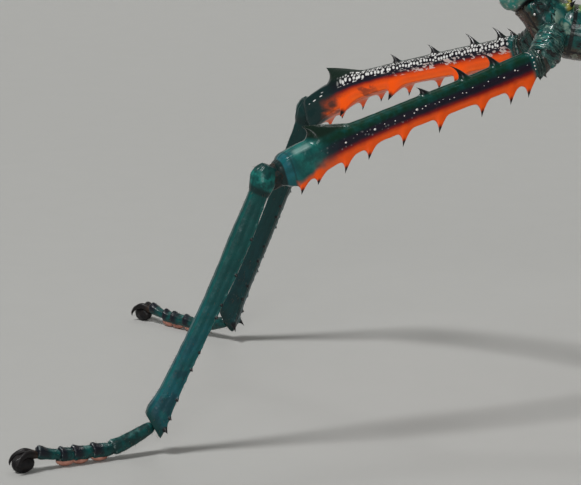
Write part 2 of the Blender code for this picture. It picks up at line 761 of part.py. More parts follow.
def build_tarsus(name):
    """The five tarsomeres and their pads, cut flat where they stand on the floor."""
    leg = LEGS[name]
    joints = leg_points(name)[-1]
    rings = []
    for k, half in enumerate(TARSUS_HALF):
        a, b = joints[k], joints[k + 1]
        along = (b - a).normalized()
        up, out = axes(along, leg["side"])
        length = (b - a).length
        start = -0.5 if k == 0 else 0.12
        stop = length - (GAP if k == 4 else 0.12)
        rings.append(ring(a + along * start, out, up, half * 0.62, half * 0.62))
        rings.append(ring(a + along * (start + 0.7 * (stop - start)), out, up, half, half))
        rings.append(ring(a + along * stop, out, up, half * 0.8, half * 0.8))
    ob = node("tarsus_" + name, loft(rings, 6), joints[0], "teal")
    shin = cutter("ankle_cut_" + name, loft(grown(tibia_rings(name), GAP), 8, 3.0))
    boolean(ob, shin, "DIFFERENCE")
    pads = bmesh.new()
    for k in (1, 2, 3):
        middle = joints[k].lerp(joints[k + 1], 0.66)
        along = (joints[k + 1] - joints[k]).normalized()
        up, out = axes(along, leg["side"])
        reach = middle.z + 0.16
        centre = middle - UP * reach * 0.5
        add_ball(pads, centre, out, UP, along, (0.62, 0.78, reach * 0.5), 6, 3)
    boolean(ob, cutter("pads_" + name, pads), "UNION")
    boolean(ob, floor_block(), "DIFFERENCE")


def floor_block():
    """What lies under the floor, which cuts each foot flat."""
    if "floor_block" in bpy.data.objects:
        return bpy.data.objects["floor_block"]
    bm = bmesh.new()
    bmesh.ops.create_cube(bm, size=1.0, matrix=Matrix.Diagonal((400.0, 500.0, 20.0, 1.0)))
    for vert in bm.verts:
        vert.co.z -= 10.0
    return cutter("floor_block", bm)


def build_pretarsus(name):
    """Two hooked claws with the pad between them, whose underside rests on the floor."""
    leg = LEGS[name]
    joints = leg_points(name)[-1]
    root = joints[-1]
    level = direction(leg["side"], leg["foot"], 0.0)
    out = axes(level, leg["side"])[1]
    bm = bmesh.new()
    centre = Vector((root.x, root.y, 0.0)) + level * 1.55 + UP * 0.92
    add_ball(bm, centre, out, UP, level, (0.85, 1.35, 1.12), 8, 5)
    ob = node("pretarsus_" + name, bm, root, "dark")
    claws = []
    for across in (1, -1):
        steps = ((0.1, -0.25, 0.36), (0.4, 0.02, 0.36), (0.75, -0.35, 0.28), (0.95, -1.15, 0.14))
        rings = []
        for ahead, above, radius in steps:
            place = root + level * (ahead * CLAW_LENGTH) + UP * above
            place = place + out * across * (0.2 + 0.9 * ahead)
            rings.append(ring(place, out, UP, radius, radius))
        claws.append(loft(rings, 4))
    for k, claw in enumerate(claws):
        boolean(ob, cutter("claw_%d_%s" % (k, name), claw), "UNION")
    boolean(ob, floor_block(), "DIFFERENCE")


def build_legs():
    for name in LEGS:
        build_coxa(name)
        build_femur(name)
        build_tibia(name)
        build_tarsus(name)
        build_pretarsus(name)


build_trunk()
build_tail()
build_wings()
build_prothorax()
build_head()
build_eyes()
build_mouthparts()
build_antennae()
build_legs()
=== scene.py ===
"""The looks of a still, life-size giant stick insect, laid out as a Blender add-on.

Lengths in the tables are millimetres and degrees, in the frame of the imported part: the insect
heads along -Y, its left side is +X and the floor is z = 0.
"""

import functools
import itertools
import math

import bpy
import numpy as np
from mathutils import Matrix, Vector


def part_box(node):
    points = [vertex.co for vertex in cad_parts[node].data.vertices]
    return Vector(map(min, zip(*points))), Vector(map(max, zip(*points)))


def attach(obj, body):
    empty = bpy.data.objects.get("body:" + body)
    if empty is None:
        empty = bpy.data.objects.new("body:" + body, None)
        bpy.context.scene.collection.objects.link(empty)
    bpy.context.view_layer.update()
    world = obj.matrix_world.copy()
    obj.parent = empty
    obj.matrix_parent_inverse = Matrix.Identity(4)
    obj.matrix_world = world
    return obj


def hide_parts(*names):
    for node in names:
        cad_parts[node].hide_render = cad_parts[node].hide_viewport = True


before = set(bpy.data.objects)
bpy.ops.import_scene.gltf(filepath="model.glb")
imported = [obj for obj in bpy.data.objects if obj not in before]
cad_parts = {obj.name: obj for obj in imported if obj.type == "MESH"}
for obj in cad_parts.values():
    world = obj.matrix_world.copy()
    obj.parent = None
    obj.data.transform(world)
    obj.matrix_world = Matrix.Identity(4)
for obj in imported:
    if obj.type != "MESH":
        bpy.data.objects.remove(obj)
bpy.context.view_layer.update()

bl_info = {
    "name": "Giant stick insect",
    "version": (1, 0, 0),
    "blender": (4, 5, 0),
    "location": "3D View > Sidebar > Insect",
    "description": "Shells, thorns, bristles and wings of a giant stick insect",
    "category": "Object",
}

MM = 0.001
X = np.array((1.0, 0.0, 0.0))
UP = np.array((0.0, 0.0, 1.0))
FRONT_HIPS_Y = -46.5  # the tables below count y from here

# The line of the trunk, and its segments from the front.
TRUNK_START = 3.9
TRUNK_HEIGHT = 44.4
TRUNK_SLOPE = -0.1736
TRUNK_BEND = 0.000568
TRUNK_LENGTHS = {"mesothorax": 28.1, "metathorax": 16.4}
ABDOMEN_LENGTHS = (11.0, 14.0, 15.0, 15.0, 13.0, 10.0, 7.5, 6.5, 5.5)  # from the second on
TRUNK_LENGTHS.update({"abdomen_%d" % k: size for k, size in enumerate(ABDOMEN_LENGTHS, 2)})
TRUNK_STARTS = dict(zip(TRUNK_LENGTHS, np.cumsum([0.0, *TRUNK_LENGTHS.values()])))
TRUNK_END = sum(TRUNK_LENGTHS.values())

# Distance along the trunk, half width, half height.
TRUNK_PROFILE = (
    (-2.0, 3.1, 2.9),
    (0.0, 3.3, 3.2),
    (12.0, 3.2, 2.8),
    (28.0, 3.9, 3.0),
    (44.5, 3.8, 2.8),
    (58.0, 3.2, 2.5),
    (90.0, 2.8, 2.2),
    (118.0, 2.5, 2.0),
    (130.0, 2.9, 2.2),
    (142.0, 2.0, 1.4),
    (144.0, 1.8, 1.2),
)

PROTHORAX_REAR = (0.0, 2.9, 44.2)
PROTHORAX_PITCH = 55.0
HEAD_REAR = (0.0, -0.25, 48.75)
HEAD_PITCH = 50.0
# Along, above the head's axis, half width, half height.
HEAD_PROFILE = (
    (-0.9, 0.1, 1.75, 1.6),
    (0.1, 0.05, 2.25, 2.2),
    (0.9, 0.0, 2.62, 2.62),
    (2.2, 0.0, 2.80, 2.78),
    (4.0, 0.1, 2.83, 2.68),
    (5.4, -0.05, 2.55, 2.40),
    (6.6, -0.35, 2.10, 1.98),
    (7.3, -0.55, 1.62, 1.50),
    (7.75, -0.70, 0.95, 0.90),
)
PROTHORAX_PROFILE = (
    (-1.1, 0.0, 2.2, 2.0),
    (0.0, 0.0, 2.85, 2.75),
    (1.8, 0.0, 2.98, 2.80),
    (3.6, 0.0, 2.85, 2.75),
    (4.8, 0.0, 2.68, 2.68),
    (5.1, 0.0, 1.9, 1.9),
)
EYE_ALONG = 4.6
EYE_TURN = 22.0  # round the head from its side

# Palps: where each starts, its joints from there and its radius. Outward, downward, forward.
PALPS = (
    (
        (1.10, 0.45, 0.1),
        ((0, 0, 0), (0.10, 0.35, 0.05), (0.22, 0.75, 0.25), (0.30, 1.15, 0.55), (0.33, 1.6, 0.75)),
        0.23,
    ),
    ((0.48, 0.55, 0.45), ((0, 0, 0), (0.05, 0.35, 0.12), (0.08, 0.7, 0.32), (0.1, 1.0, 0.5)), 0.18),
)

ANTENNA_LENGTH = 70.0
ANTENNA_LIFT = 50.0
ANTENNA_SPREAD = 17.0
ANTENNA_SAG = 4.0

# Legs: side, hip, splay from straight ahead and fall below level of the femur and the tibia,
# length of the shin, splay of the foot, how far the femur's end lies below its line, and how
# far beyond it the tibia starts.
LEG_VALUES = ("side", "hip", "femur", "tibia", "shin", "foot", "sink", "reach")
LEG_ROWS = {
    "front_left": (1, (5.1, 0.0, 41.2), (29.0, 17.6), (14.3, 65.5), 30.7, 31.3, 0.0, 2.4),
    "front_right": (-1, (-5.1, -1.4, 41.5), (34.5, 17.3), (14.6, 68.7), 30.8, 38.7, 1.1, 0.0),
    "middle_left": (1, (5.9, 31.4, 37.0), (95.0, 15.0), (101.0, 75.0), 26.0, 92.0, 0.0, 2.4),
    "middle_right": (-1, (-5.9, 31.4, 37.0), (103.0, 15.6), (97.0, 73.0), 26.0, 104.0, 0.0, 2.4),
    "hind_left": (1, (5.8, 47.4, 35.2), (146.0, -6.0), (150.0, 72.0), 37.0, 143.0, 0.0, 2.4),
    "hind_right": (-1, (-5.8, 47.4, 35.2), (139.0, -4.0), (143.0, 70.0), 37.0, 149.0, 0.0, 2.4),
}
LEGS = {name: dict(zip(LEG_VALUES, row)) for name, row in LEG_ROWS.items()}
PAIRS = {
    "front": dict(root=(2.4, 2.3, 44.9), femur=33.1, thick=1.0),
    "middle": dict(root=(2.2, 30.2, 38.4), femur=27.0, thick=0.92),
    "hind": dict(root=(2.2, 45.8, 36.9), femur=35.0, thick=1.0),
}
COXA_RADIUS = 1.8
# Share of the coxa's length, or distance beyond the hip, and share of the coxa's radius.
COXA_PROFILE = (
    (-0.05, 0.55),
    (0.0, 0.78),
    (0.2, 0.95),
    (0.6, 1.02),
    (0.9, 0.97),
    (1.05, 0.80),
    (1.17, 0.45),
)
TROCHANTER_PROFILE = (
    (-2.1, 0.35),
    (-1.7, 0.66),
    (-1.2, 0.84),
    (-0.6, 0.94),
    (-0.25, 0.93),
    (0.05, 0.84),
    (0.35, 0.70),
)
FEMUR_ARCH = 0.75
FEMUR_BOW = 1.1
TIBIA_ARCH = -0.5
KNEE_RISE = 0.4
# Share of the length, half width, half height.
FEMUR_PROFILE = (
    (-0.012, 0.80, 1.05),
    (0.004, 1.05, 1.40),
    (0.035, 1.20, 1.70),
    (0.10, 1.19, 1.68),
    (0.25, 1.16, 1.61),
    (0.515, 1.12, 1.51),
    (0.67, 1.18, 1.58),
    (0.746, 1.30, 1.68),
    (0.825, 1.50, 1.85),
    (0.905, 1.66, 2.02),
    (0.965, 1.66, 1.97),
    (1.0, 1.45, 1.66),
    (1.022, 1.10, 1.22),
)
TIBIA_PROFILE = (
    (-0.045, 0.72, 0.85),
    (-0.02, 1.10, 1.26),
    (0.01, 1.24, 1.40),
    (0.045, 1.12, 1.26),
    (0.09, 0.90, 1.08),
    (0.16, 0.93, 1.18),
    (0.25, 0.97, 1.24),
    (0.50, 0.94, 1.09),
    (0.72, 0.94, 1.09),
    (0.87, 1.02, 1.20),
    (0.965, 1.14, 1.43),
    (0.988, 1.06, 1.34),
)
TIBIA_SLANT = 0.75
SHIN_THORNS = (0.19, 0.33, 0.45, 0.50, 0.64, 0.71, 0.83, 0.89)

TARSOMERES = (4.7, 2.4, 2.25, 1.5, 2.95)
TARSUS_HALF = (0.78, 0.76, 0.76, 0.74, 0.60)
TARSUS_JOINTS = (1.22, 1.28, 1.30, 1.38, 2.05)
TARSUS_ROOT = (0.1, 0.3)
# Share of the length, and share of the half width.
TARSUS_PROFILE = (
    (0.0, 0.60),
    (0.06, 0.84),
    (0.3, 0.96),
    (0.7, 1.06),
    (0.9, 1.08),
    (0.97, 0.96),
    (1.0, 0.7),
)
LAST_TARSUS_PROFILE = ((0.0, 0.7), (0.1, 0.9), (0.5, 1.0), (0.85, 1.2), (0.96, 1.1), (1.0, 0.8))
CLAW_LENGTH = 2.7
# Forward as a share of the length, upward, radius.
CLAW_LINE = (
    (-0.05, -0.35, 0.30),
    (0.1, -0.22, 0.37),
    (0.4, 0.05, 0.35),
    (0.68, -0.18, 0.27),
    (0.88, -0.62, 0.19),
    (0.97, -1.15, 0.10),
    (0.965, -1.45, 0.02),
)

# Thorns on the femur: where along it, and height. Of the two rows below, the inner one starts
# at the third thorn, and it is shifted along and scaled in height.
BELOW_THORNS = (
    (0.05, 1.7),
    (0.125, 1.7),
    (0.245, 1.8),
    (0.415, 1.8),
    (0.555, 1.8),
    (0.69, 1.5),
    (0.78, 1.7),
    (0.89, 1.2),
    (0.95, 1.4),
)
INNER_SHIFT = {"front_left": -0.03, "front_right": 0.03}
INNER_HEIGHT = {"front_left": 0.45, "front_right": 1.0}
BACK_THORNS = {
    "front_left": ((0.15, 2.1), (0.28, 2.1), (0.44, 1.1)),
    "front_right": ((0.01, 1.4), (0.07, 1.6), (0.20, 1.6), (0.39, 1.3), (0.57, 1.2)),
}
PLAIN_BACK_THORNS = ((0.18, 1.1), (0.42, 1.2))
KNEE_THORN = 0.845

SEED = 7
# How far the mesh lines round a thorn stand from it, as shares of its reach.
NEAR = (0.035, 0.08, 0.14, 0.21, 0.30, 0.41, 0.55, 0.72, 0.92)
MARKS = ("thorn", "tone", "growth")  # what a skin carries at each point
FLOOR_GAP = 0.012  # how far the pads stay above the floor
LARGEST_STRAY = 1.5  # how far a skin may stand outside its solid

SPECULAR = 0.2  # of every material
DOME_RINGS = 5  # of a granule or a spot
PALE_EVERY = 7.0  # one ring in so many of a feeler is pale
BRISTLE_LEAN = 1.1  # along the skin, for each unit outward
# How many grow on each square metre where the mark "growth" is 1.
LEG_BRISTLES = 2.2 / MM**2
TAIL_BRISTLES = 6.0 / MM**2
GRANULES = 0.8 / MM**2

# The stage, in metres.
CAMERA_PLACE = (0.293, -0.0526, 0.0836)
CAMERA_AIM = (0.0, -0.07464, 0.01881)
WORLD_COLOUR = (1.0, 0.99, 0.97, 1.0)
WORLD_LIGHT = 0.15
BACKDROP_LIGHT = 0.25  # seen by the camera only
# Name, direction of each light, its spread in degrees and its share of the power.
LIGHTS = (
    ("key", (0.25, -0.42, 1.0), 14.0, 1.0),
    ("back", (-0.75, 0.35, 1.0), 18.0, 0.5),
    ("fill", (1.0, 0.1, 0.35), 30.0, 1.0),
)


# --- settings ---


def colour(name, description, value):
    return bpy.props.FloatVectorProperty(
        name=name,
        description=description,
        default=value,
        size=3,
        min=0.0,
        max=1.0,
        subtype="COLOR",
    )


def length(name, description, millimetres):
    return bpy.props.FloatProperty(
        name=name,
        description=description,
        default=millimetres * MM,
        min=0.0,
        subtype="DISTANCE",
        unit="LENGTH",
        precision=5,
    )


def share(name, description, value, top=1.0):
    return bpy.props.FloatProperty(
        name=name, description=description, default=value, min=0.0, max=top, subtype="FACTOR"
    )


def count(name, description, value):
    return bpy.props.IntProperty(name=name, description=description, default=value, min=1)


def number(name, description, value, least=0.0):
    return bpy.props.FloatProperty(name=name, description=description, default=value, min=least)


class InsectShape(bpy.types.PropertyGroup):
    thorn_height: share("Thorn height", "Height of every thorn, as a share of it", 1.0, 1.2)
    bristle_length: length("Bristle length", "Length of the bristles on the shins and feet", 0.42)
    bristle_width: length("Bristle width", "Width of a bristle where it grows", 0.035)
    granule_size: length("Granule size", "Radius of the granules on the forebody", 0.13)
    antenna_rings: count("Feeler rings", "How many rings each feeler has", 34)
    antenna_base: length("Feeler base radius", "Radius of a feeler beyond its first joints", 0.34)
    antenna_tip: length("Feeler tip radius", "Radius of a feeler at its tip", 0.14)


class InsectColours(bpy.types.PropertyGroup):
    teal: colour("Teal", "Shins, hips and the sides of the trunk", (0.003, 0.074, 0.070))
    bright_teal: colour("Bright teal", "Where a shell catches the light", (0.016, 0.220, 0.185))
    green: colour("Green", "The upper side of the thighs and thorax", (0.002, 0.026, 0.012))
    yellow_green: colour("Yellow green", "The plate behind the neck", (0.13, 0.24, 0.035))
    navy: colour("Navy", "The dark band along a thigh", (0.007, 0.005, 0.016))
    crimson: colour("Crimson", "Between the band and the orange keel", (0.22, 0.008, 0.006))
    orange: colour("Orange", "The keel below a thigh", (0.92, 0.095, 0.004))
    blue: colour("Blue", "The far end of a thigh", (0.008, 0.110, 0.170))
    white: colour("White", "Granules and dashes", (0.74, 0.74, 0.72))
    cream: colour("Cream", "Membranes between shells", (0.46, 0.40, 0.30))
    grey: colour("Grey brown", "The skin of the throat", (0.10, 0.095, 0.075))
    black: colour("Black", "Thorn tips, claws and hinges", (0.006, 0.006, 0.007))
    ochre: colour("Ochre", "Bands on the abdomen and wings", (0.46, 0.24, 0.035))
    pink: colour("Pink", "Pads and the fan of the wing", (0.52, 0.20, 0.15))
    brown: colour("Brown", "Eyes and feelers", (0.085, 0.045, 0.025))


class InsectStage(bpy.types.PropertyGroup):
    floor: colour("Floor", "The plain floor and backdrop", (0.40, 0.40, 0.385))
    key_power: number("Key light", "Power of the large soft light", 2.3)
    fill_power: number("Fill light", "Power of the light from one side", 1.1)
    lens: number("Lens", "Focal length of the camera in millimetres", 157.2, 1.0)


def shape():
    return bpy.context.scene.insect_shape


def colours():
    return bpy.context.scene.insect_colours


def stage():
    return bpy.context.scene.insect_stage


# --- surfaces ---


def clamp(values):
    return np.clip(values, 0.0, 1.0)


def unit(vectors):
    return vectors / np.maximum(np.linalg.norm(vectors, axis=-1, keepdims=True), 1e-9)


def through(table, column, at):
    """A smooth curve through one column of a table, with no overshoot."""
    rows = np.array(table, dtype=float)
    xs, ys = rows[:, 0], rows[:, column]
    slope = np.diff(ys) / np.diff(xs)
    product = slope[:-1] * slope[1:]
    total = np.where(product > 0, slope[:-1] + slope[1:], 1.0)
    inner = np.where(product > 0, 2 * product / total, 0.0)
    tangent = np.concatenate(([slope[0]], inner, [slope[-1]]))
    k = np.clip(np.searchsorted(xs, at, side="right") - 1, 0, len(xs) - 2)
    step = xs[k + 1] - xs[k]
    t = clamp((at - xs[k]) / step)
    return (
        ys[k] * (1 + 2 * t) * (1 - t) ** 2
        + ys[k + 1] * t * t * (3 - 2 * t)
        + step * t * (1 - t) * (tangent[k] * (1 - t) - tangent[k + 1] * t)
    )


def lumps(points, size, seed=0):
    """Smooth random bumps from -1 to 1, about size across, at an array of points."""
    places = points / size
    cell = np.floor(places).astype(np.int64)
    t = places - cell
    t = t * t * (3 - 2 * t)
    total = np.zeros(points.shape[:-1])
    for corner in itertools.product((0, 1), repeat=3):
        at = cell + np.array(corner)
        x, y, z = at[..., 0], at[..., 1], at[..., 2]
        key = x * 73856093 ^ y * 19349663 ^ z * 83492791 ^ (seed + 1) * 40503
        key = (key ^ (key >> 13)) * 1274126177 & 0x7FFFFFFF
        key = (key ^ (key >> 15)) * 668265263 & 0x7FFFFFFF
        weight = np.prod(np.where(np.array(corner) == 1, t, 1 - t), axis=-1)
        total += weight * key / 0x7FFFFFFF
    return total * 2 - 1


def lines(low, high, step, centres=(), reach=1.0):
    """Places of mesh lines from low to high: even ones, and closer ones round each centre."""
    near = [c + way * reach * f for c in centres for f in NEAR for way in (-1, 1)]
    even = list(np.linspace(low, high, int(round((high - low) / step)) + 1))
    kept = sorted([low, high, *centres])
    smallest = reach * NEAR[0] * 0.9 if centres else step * 0.4
    for group, gap in ((near, smallest), (even, step * 0.4)):
        for place in sorted(group):
            if low < place < high and min(abs(place - k) for k in kept) > gap:
                kept.append(place)
    return np.array(sorted(kept))


def round_lines(step, centres=(), reach=1.0):
    """The same round a section, in degrees from -180 up to 180, which is left out."""
    return lines(-180.0, 180.0, step, centres, reach)[:-1]


def apart(angles, angle):
    """How far angles are from one angle, from -180 to 180."""
    return (angles - angle + 180.0) % 360.0 - 180.0


def hill(values, middle, width):
    return np.exp(-(((values - middle) / width) ** 2))


class Skin:
    """Rings round a line, which ridges, hollows and thorns are raised on."""

    def __init__(self, along, angles, base, centres):
        self.along, self.angles, self.base = along, angles, base
        ahead = np.gradient(base, axis=0)
        round_it = np.roll(base, -1, axis=1) - np.roll(base, 1, axis=1)
        out = unit(np.cross(round_it, ahead))
        outward = np.sum(out * (base - centres[:, None, :])) >= 0
        self.out = out if outward else -out
        self.flow = unit(ahead)
        self.push = np.zeros_like(base)
        self.thorn, self.tone, self.growth = np.zeros((3, *base.shape[:2]))

    def raise_by(self, amount):
        self.push += self.out * amount[..., None]

    def ridge(self, angles, height, width, where=1.0):
        """A rounded ridge, or a groove, along the skin at one angle or at several."""
        strength = np.broadcast_to(where, self.along.shape)
        for angle in np.atleast_1d(angles):
            section = hill(apart(self.angles, angle), 0.0, width)
            self.raise_by(height * strength[:, None] * section[None, :])

    def band(self, along, height, width, where=1.0):
        """A ridge or a groove round the skin. where fades it round the section."""
        strength = np.broadcast_to(where, self.angles.shape)
        self.raise_by(height * hill(self.along, along, width)[:, None] * strength[None, :])

    def roughen(self, height, size, seed=0, where=1.0):
        self.raise_by(height * lumps(self.base, size, seed) * where)

    def nearest(self, along, angle):
        """The row and column of the mesh's nearest point."""
        row, column = np.abs(self.along - along), np.abs(apart(self.angles, angle))
        return int(np.argmin(row)), int(np.argmin(column))

    def swell(self, along, angle, height, reach, power=2.0):
        """A soft knob, or a pit, round one place."""
        place = self.nearest(along, angle)
        gap = np.linalg.norm(self.base - self.base[place], axis=-1) / reach
        self.raise_by(height * np.exp(-np.abs(gap) ** power))

    def raise_thorn(
        self, along, angle, height, reach, lean, sharp=2.7, curl=1.6, aim=None, behind=1.0
    ):
        """A thorn with a broad foot. lean is how far its tip is carried, as a vector."""
        place = self.nearest(along, angle)
        offset = self.base - self.base[place]
        back = np.clip(-(offset @ self.flow[place]), 0.0, None)
        square = (offset**2).sum(axis=-1) - back**2 * (1.0 - behind**-2)
        gap = np.sqrt(np.maximum(square, 0.0)) / reach
        rise = clamp(1.0 - gap) ** sharp
        height = height * shape().thorn_height
        aim = self.out[place] if aim is None else unit(aim)
        self.push += aim * (height * rise)[..., None]
        self.push += np.asarray(lean) * (rise**curl)[..., None]
        self.thorn = np.maximum(self.thorn, rise)

    def shell(self):
        """The finished surface as one closed shell, with a fan of triangles at each end."""
        rings, columns = self.base.shape[:2]
        u, v = self.along, np.append(self.angles, self.angles[0] + 360.0) / 360.0
        i, j = np.meshgrid(np.arange(rings - 1), np.arange(columns), indexing="ij")
        rows, cols = np.stack((i, i, i + 1, i + 1), -1), np.stack((j, j + 1, j + 1, j), -1)
        quads = rows * columns + cols % columns
        corners = np.stack((u[rows], v[cols]), -1)
        fans, fan_corners = [], []
        middle = (v[:-1] + v[1:]) / 2
        j = np.arange(columns)
        for pole, row, pair in ((0, 0, (j + 1, j)), (1, rings - 1, (j, j + 1))):
            cols = np.stack(pair, -1)
            hub = np.full((columns, 1), rings * columns + pole)
            fans.append(np.concatenate((hub, row * columns + cols % columns), axis=1))
            turns = np.concatenate((middle[:, None], v[cols]), axis=1)
            fan_corners.append(np.stack((np.full((columns, 3), u[row]), turns), -1))

        def with_poles(field):
            ends = [field[0].mean(axis=0), field[-1].mean(axis=0)]
            return np.concatenate((field.reshape(-1, *field.shape[2:]), ends))

        return Shell(
            with_poles(self.base + self.push),
            quads.reshape(-1, 4),
            np.concatenate(fans),
            corners.reshape(-1, 2),
            np.concatenate(fan_corners).reshape(-1, 2),
            {name: with_poles(getattr(self, name)) for name in MARKS},
            with_poles(self.flow),
        )


def section_skin(along, angles, centres, sides, ups, widths, heights, square=2.0):
    """A skin of oval rings. A square above 2 gives the section four edges."""
    turn = np.radians(angles)
    c, s = np.cos(turn), np.sin(turn)
    k = (np.abs(c) ** square + np.abs(s) ** square) ** (-1.0 / square)
    sides, ups = (np.broadcast_to(way, centres.shape)[:, None, :] for way in (sides, ups))
    across = (widths[:, None] * (c * k))[..., None] * sides
    above = (heights[:, None] * (s * k))[..., None] * ups
    return Skin(along, angles, centres[:, None, :] + across + above, centres)


class Shell:
    """Vertices in millimetres with quads, triangles, corner UVs and marks at each vertex."""

    def __init__(self, points, quads, fans, quad_uvs, fan_uvs, marks, flow):
        a, b, c, d = (points[quads[:, k]] for k in range(4))
        p, q, r = (points[fans[:, k]] for k in range(3))
        volume = np.sum(a * np.cross(b, c) + a * np.cross(c, d)) + np.sum(p * np.cross(q, r))
        if volume < 0:
            quads, fans = quads[:, ::-1], fans[:, ::-1]
            quad_uvs = quad_uvs.reshape(-1, 4, 2)[:, ::-1].reshape(-1, 2)
            fan_uvs = fan_uvs.reshape(-1, 3, 2)[:, ::-1].reshape(-1, 2)
        self.points, self.quads, self.fans = points, quads, fans
        self.quad_uvs, self.fan_uvs = quad_uvs, fan_uvs
        self.marks, self.flow = marks, flow

    def toned(self, tone):
        """The same shell with one tone all over."""
        self.marks["tone"] = np.full(len(self.points), float(tone))
        return self


def joined_mesh(name, shells):
    """One mesh, in metres, from several shells."""
    starts = np.cumsum([0] + [len(s.points) for s in shells])
    quads = np.concatenate([s.quads + at for s, at in zip(shells, starts)])
    fans = np.concatenate([s.fans + at for s, at in zip(shells, starts)])
    points = np.concatenate([s.points for s in shells]) * MM
    mesh = bpy.data.meshes.new(name)
    mesh.vertices.add(len(points))
    mesh.vertices.foreach_set("co", points.ravel())
    corners = np.concatenate((quads.ravel(), fans.ravel()))
    mesh.loops.add(len(corners))
    mesh.loops.foreach_set("vertex_index", corners.astype(np.int32))
    sizes = np.concatenate((np.full(len(quads), 4), np.full(len(fans), 3)))
    mesh.polygons.add(len(sizes))
    mesh.polygons.foreach_set("loop_start", (np.cumsum(sizes) - sizes).astype(np.int32))
    mesh.update(calc_edges=True)
    uvs = np.concatenate([s.quad_uvs for s in shells] + [s.fan_uvs for s in shells])
    mesh.uv_layers.new(name="skin").data.foreach_set("uv", uvs.astype(np.float32).ravel())
    for mark in MARKS:
        values = np.concatenate([s.marks[mark] for s in shells]).astype(np.float32)
        mesh.attributes.new(mark, "FLOAT", "POINT").data.foreach_set("value", values)
    flow = np.concatenate([s.flow for s in shells]).astype(np.float32)
    mesh.attributes.new("flow", "FLOAT_VECTOR", "POINT").data.foreach_set("vector", flow.ravel())
    mesh.polygons.foreach_set("use_smooth", np.ones(len(sizes), dtype=bool))
    mesh.validate()
    return mesh


def piece(name, shells, material, slot, *nodes):
    """One finished piece at the origin, which stands for the named nodes of the frame."""
    mesh = joined_mesh(name, shells)
    mesh.materials.append(material)
    return settle(bpy.data.objects.new(name, mesh), slot, *nodes)


def settle(ob, slot, *nodes):
    bpy.context.scene.collection.objects.link(ob)
    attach(ob, "root")
    if nodes:
        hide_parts(*nodes)
    return ob


def tube(points, radii, sides, flat=1.0, rise=UP, along=None):
    """A skin round a bent line of points, with its radii. rise is which way is up for it."""
    ahead = unit(np.gradient(points, axis=0))
    ups = unit(rise - ahead * np.sum(ahead * rise, axis=-1, keepdims=True))
    along = np.linspace(0.0, 1.0, len(points)) if along is None else along
    angles = np.arange(sides) * 360.0 / sides - 180.0
    return section_skin(along, angles, points, np.cross(ahead, ups), ups, radii, radii * flat)


def ball(centre, sizes, side, front, up, columns, rings):
    """An egg: half sizes along side, front and up."""
    t = np.linspace(0.03, 0.97, rings) * math.pi
    centres = centre - np.outer(np.cos(t) * sizes[1], front)
    widths, heights = np.sin(t) * sizes[0], np.sin(t) * sizes[2]
    angles = np.arange(columns) * 360.0 / columns - 180.0
    return section_skin(t / math.pi, angles, centres, side, up, widths, heights)


# --- where things are ---


def vec(*values):
    return np.array(values, dtype=float)


def moved(point):
    """From the tables' place, which starts at the front hips, to the part's own frame."""
    return np.asarray(point, dtype=float) + vec(0.0, FRONT_HIPS_Y, 0.0)


def trunk_at(s):
    """Points of the trunk's line and its upward directions, for an array of distances."""
    s = np.atleast_1d(np.asarray(s, dtype=float))
    height = TRUNK_HEIGHT + TRUNK_SLOPE * s + TRUNK_BEND * s * s
    points = np.stack((np.zeros_like(s), TRUNK_START + s + FRONT_HIPS_Y, height), -1)
    slope = TRUNK_SLOPE + 2 * TRUNK_BEND * s
    ups = unit(np.stack((np.zeros_like(s), -slope, np.ones_like(s)), -1))
    return points, ups


def pitched(pitch):
    p = math.radians(pitch)
    return vec(0.0, -math.cos(p), math.sin(p)), vec(0.0, math.sin(p), math.cos(p))


def direction(side, splay, fall):
    s, f = math.radians(splay), math.radians(fall)
    return vec(side * math.sin(s) * math.cos(f), -math.cos(s) * math.cos(f), -math.sin(f))


def axes(along, side):
    """The back of a length of leg and its outer side, square to its direction."""
    up = unit(UP - along * along.dot(UP))
    return up, np.cross(up, along) * side


def pair_of(name):
    return PAIRS[name.split("_")[0]]


def leg_points(name):
    """Hip, knee, both ends of the tibia and the joints of the tarsus."""
    leg, pair = LEGS[name], pair_of(name)
    hip = moved(leg["hip"])
    thigh, shin = direction(leg["side"], *leg["femur"]), direction(leg["side"], *leg["tibia"])
    knee = hip + thigh * pair["femur"]
    top = knee + thigh * leg["reach"] - shin * (KNEE_RISE - leg["sink"])
    ankle = top + shin * leg["shin"]
    joints = [ankle + shin * TARSUS_ROOT[0] + axes(shin, leg["side"])[0] * TARSUS_ROOT[1]]
    level = direction(leg["side"], leg["foot"], 0.0)
    for size, height in zip(TARSOMERES, TARSUS_JOINTS):
        drop = height - joints[-1][2]
        run = math.sqrt(max(size * size - drop * drop, 0.0))
        joints.append(joints[-1] + level * run + UP * drop)
    return hip, knee, top, ankle, joints


def limb(name, start, end, table, shares, angles, arch, bow_out, skew, square, slant, sink):
    """The plain skin of one length of a leg, before its ridges and thorns."""
    side, thick = LEGS[name]["side"], pair_of(name)["thick"]
    ahead = unit(end - start)
    up, out = axes(ahead, side)
    part = clamp(shares)
    lift = arch * np.sin(math.pi * part**skew) - sink * clamp((part - 0.7) / 0.3) ** 2
    swing = bow_out * np.sin(math.pi * part)
    centres = start + np.outer(shares, end - start) + np.outer(lift, up) + np.outer(swing, out)
    ups = up - np.outer(slant * clamp((shares - 0.85) / 0.13), ahead)
    widths, heights = through(table, 1, shares) * thick, through(table, 2, shares) * thick
    return section_skin(shares, angles, centres, out, ups, widths, heights, square)


# --- node trees ---


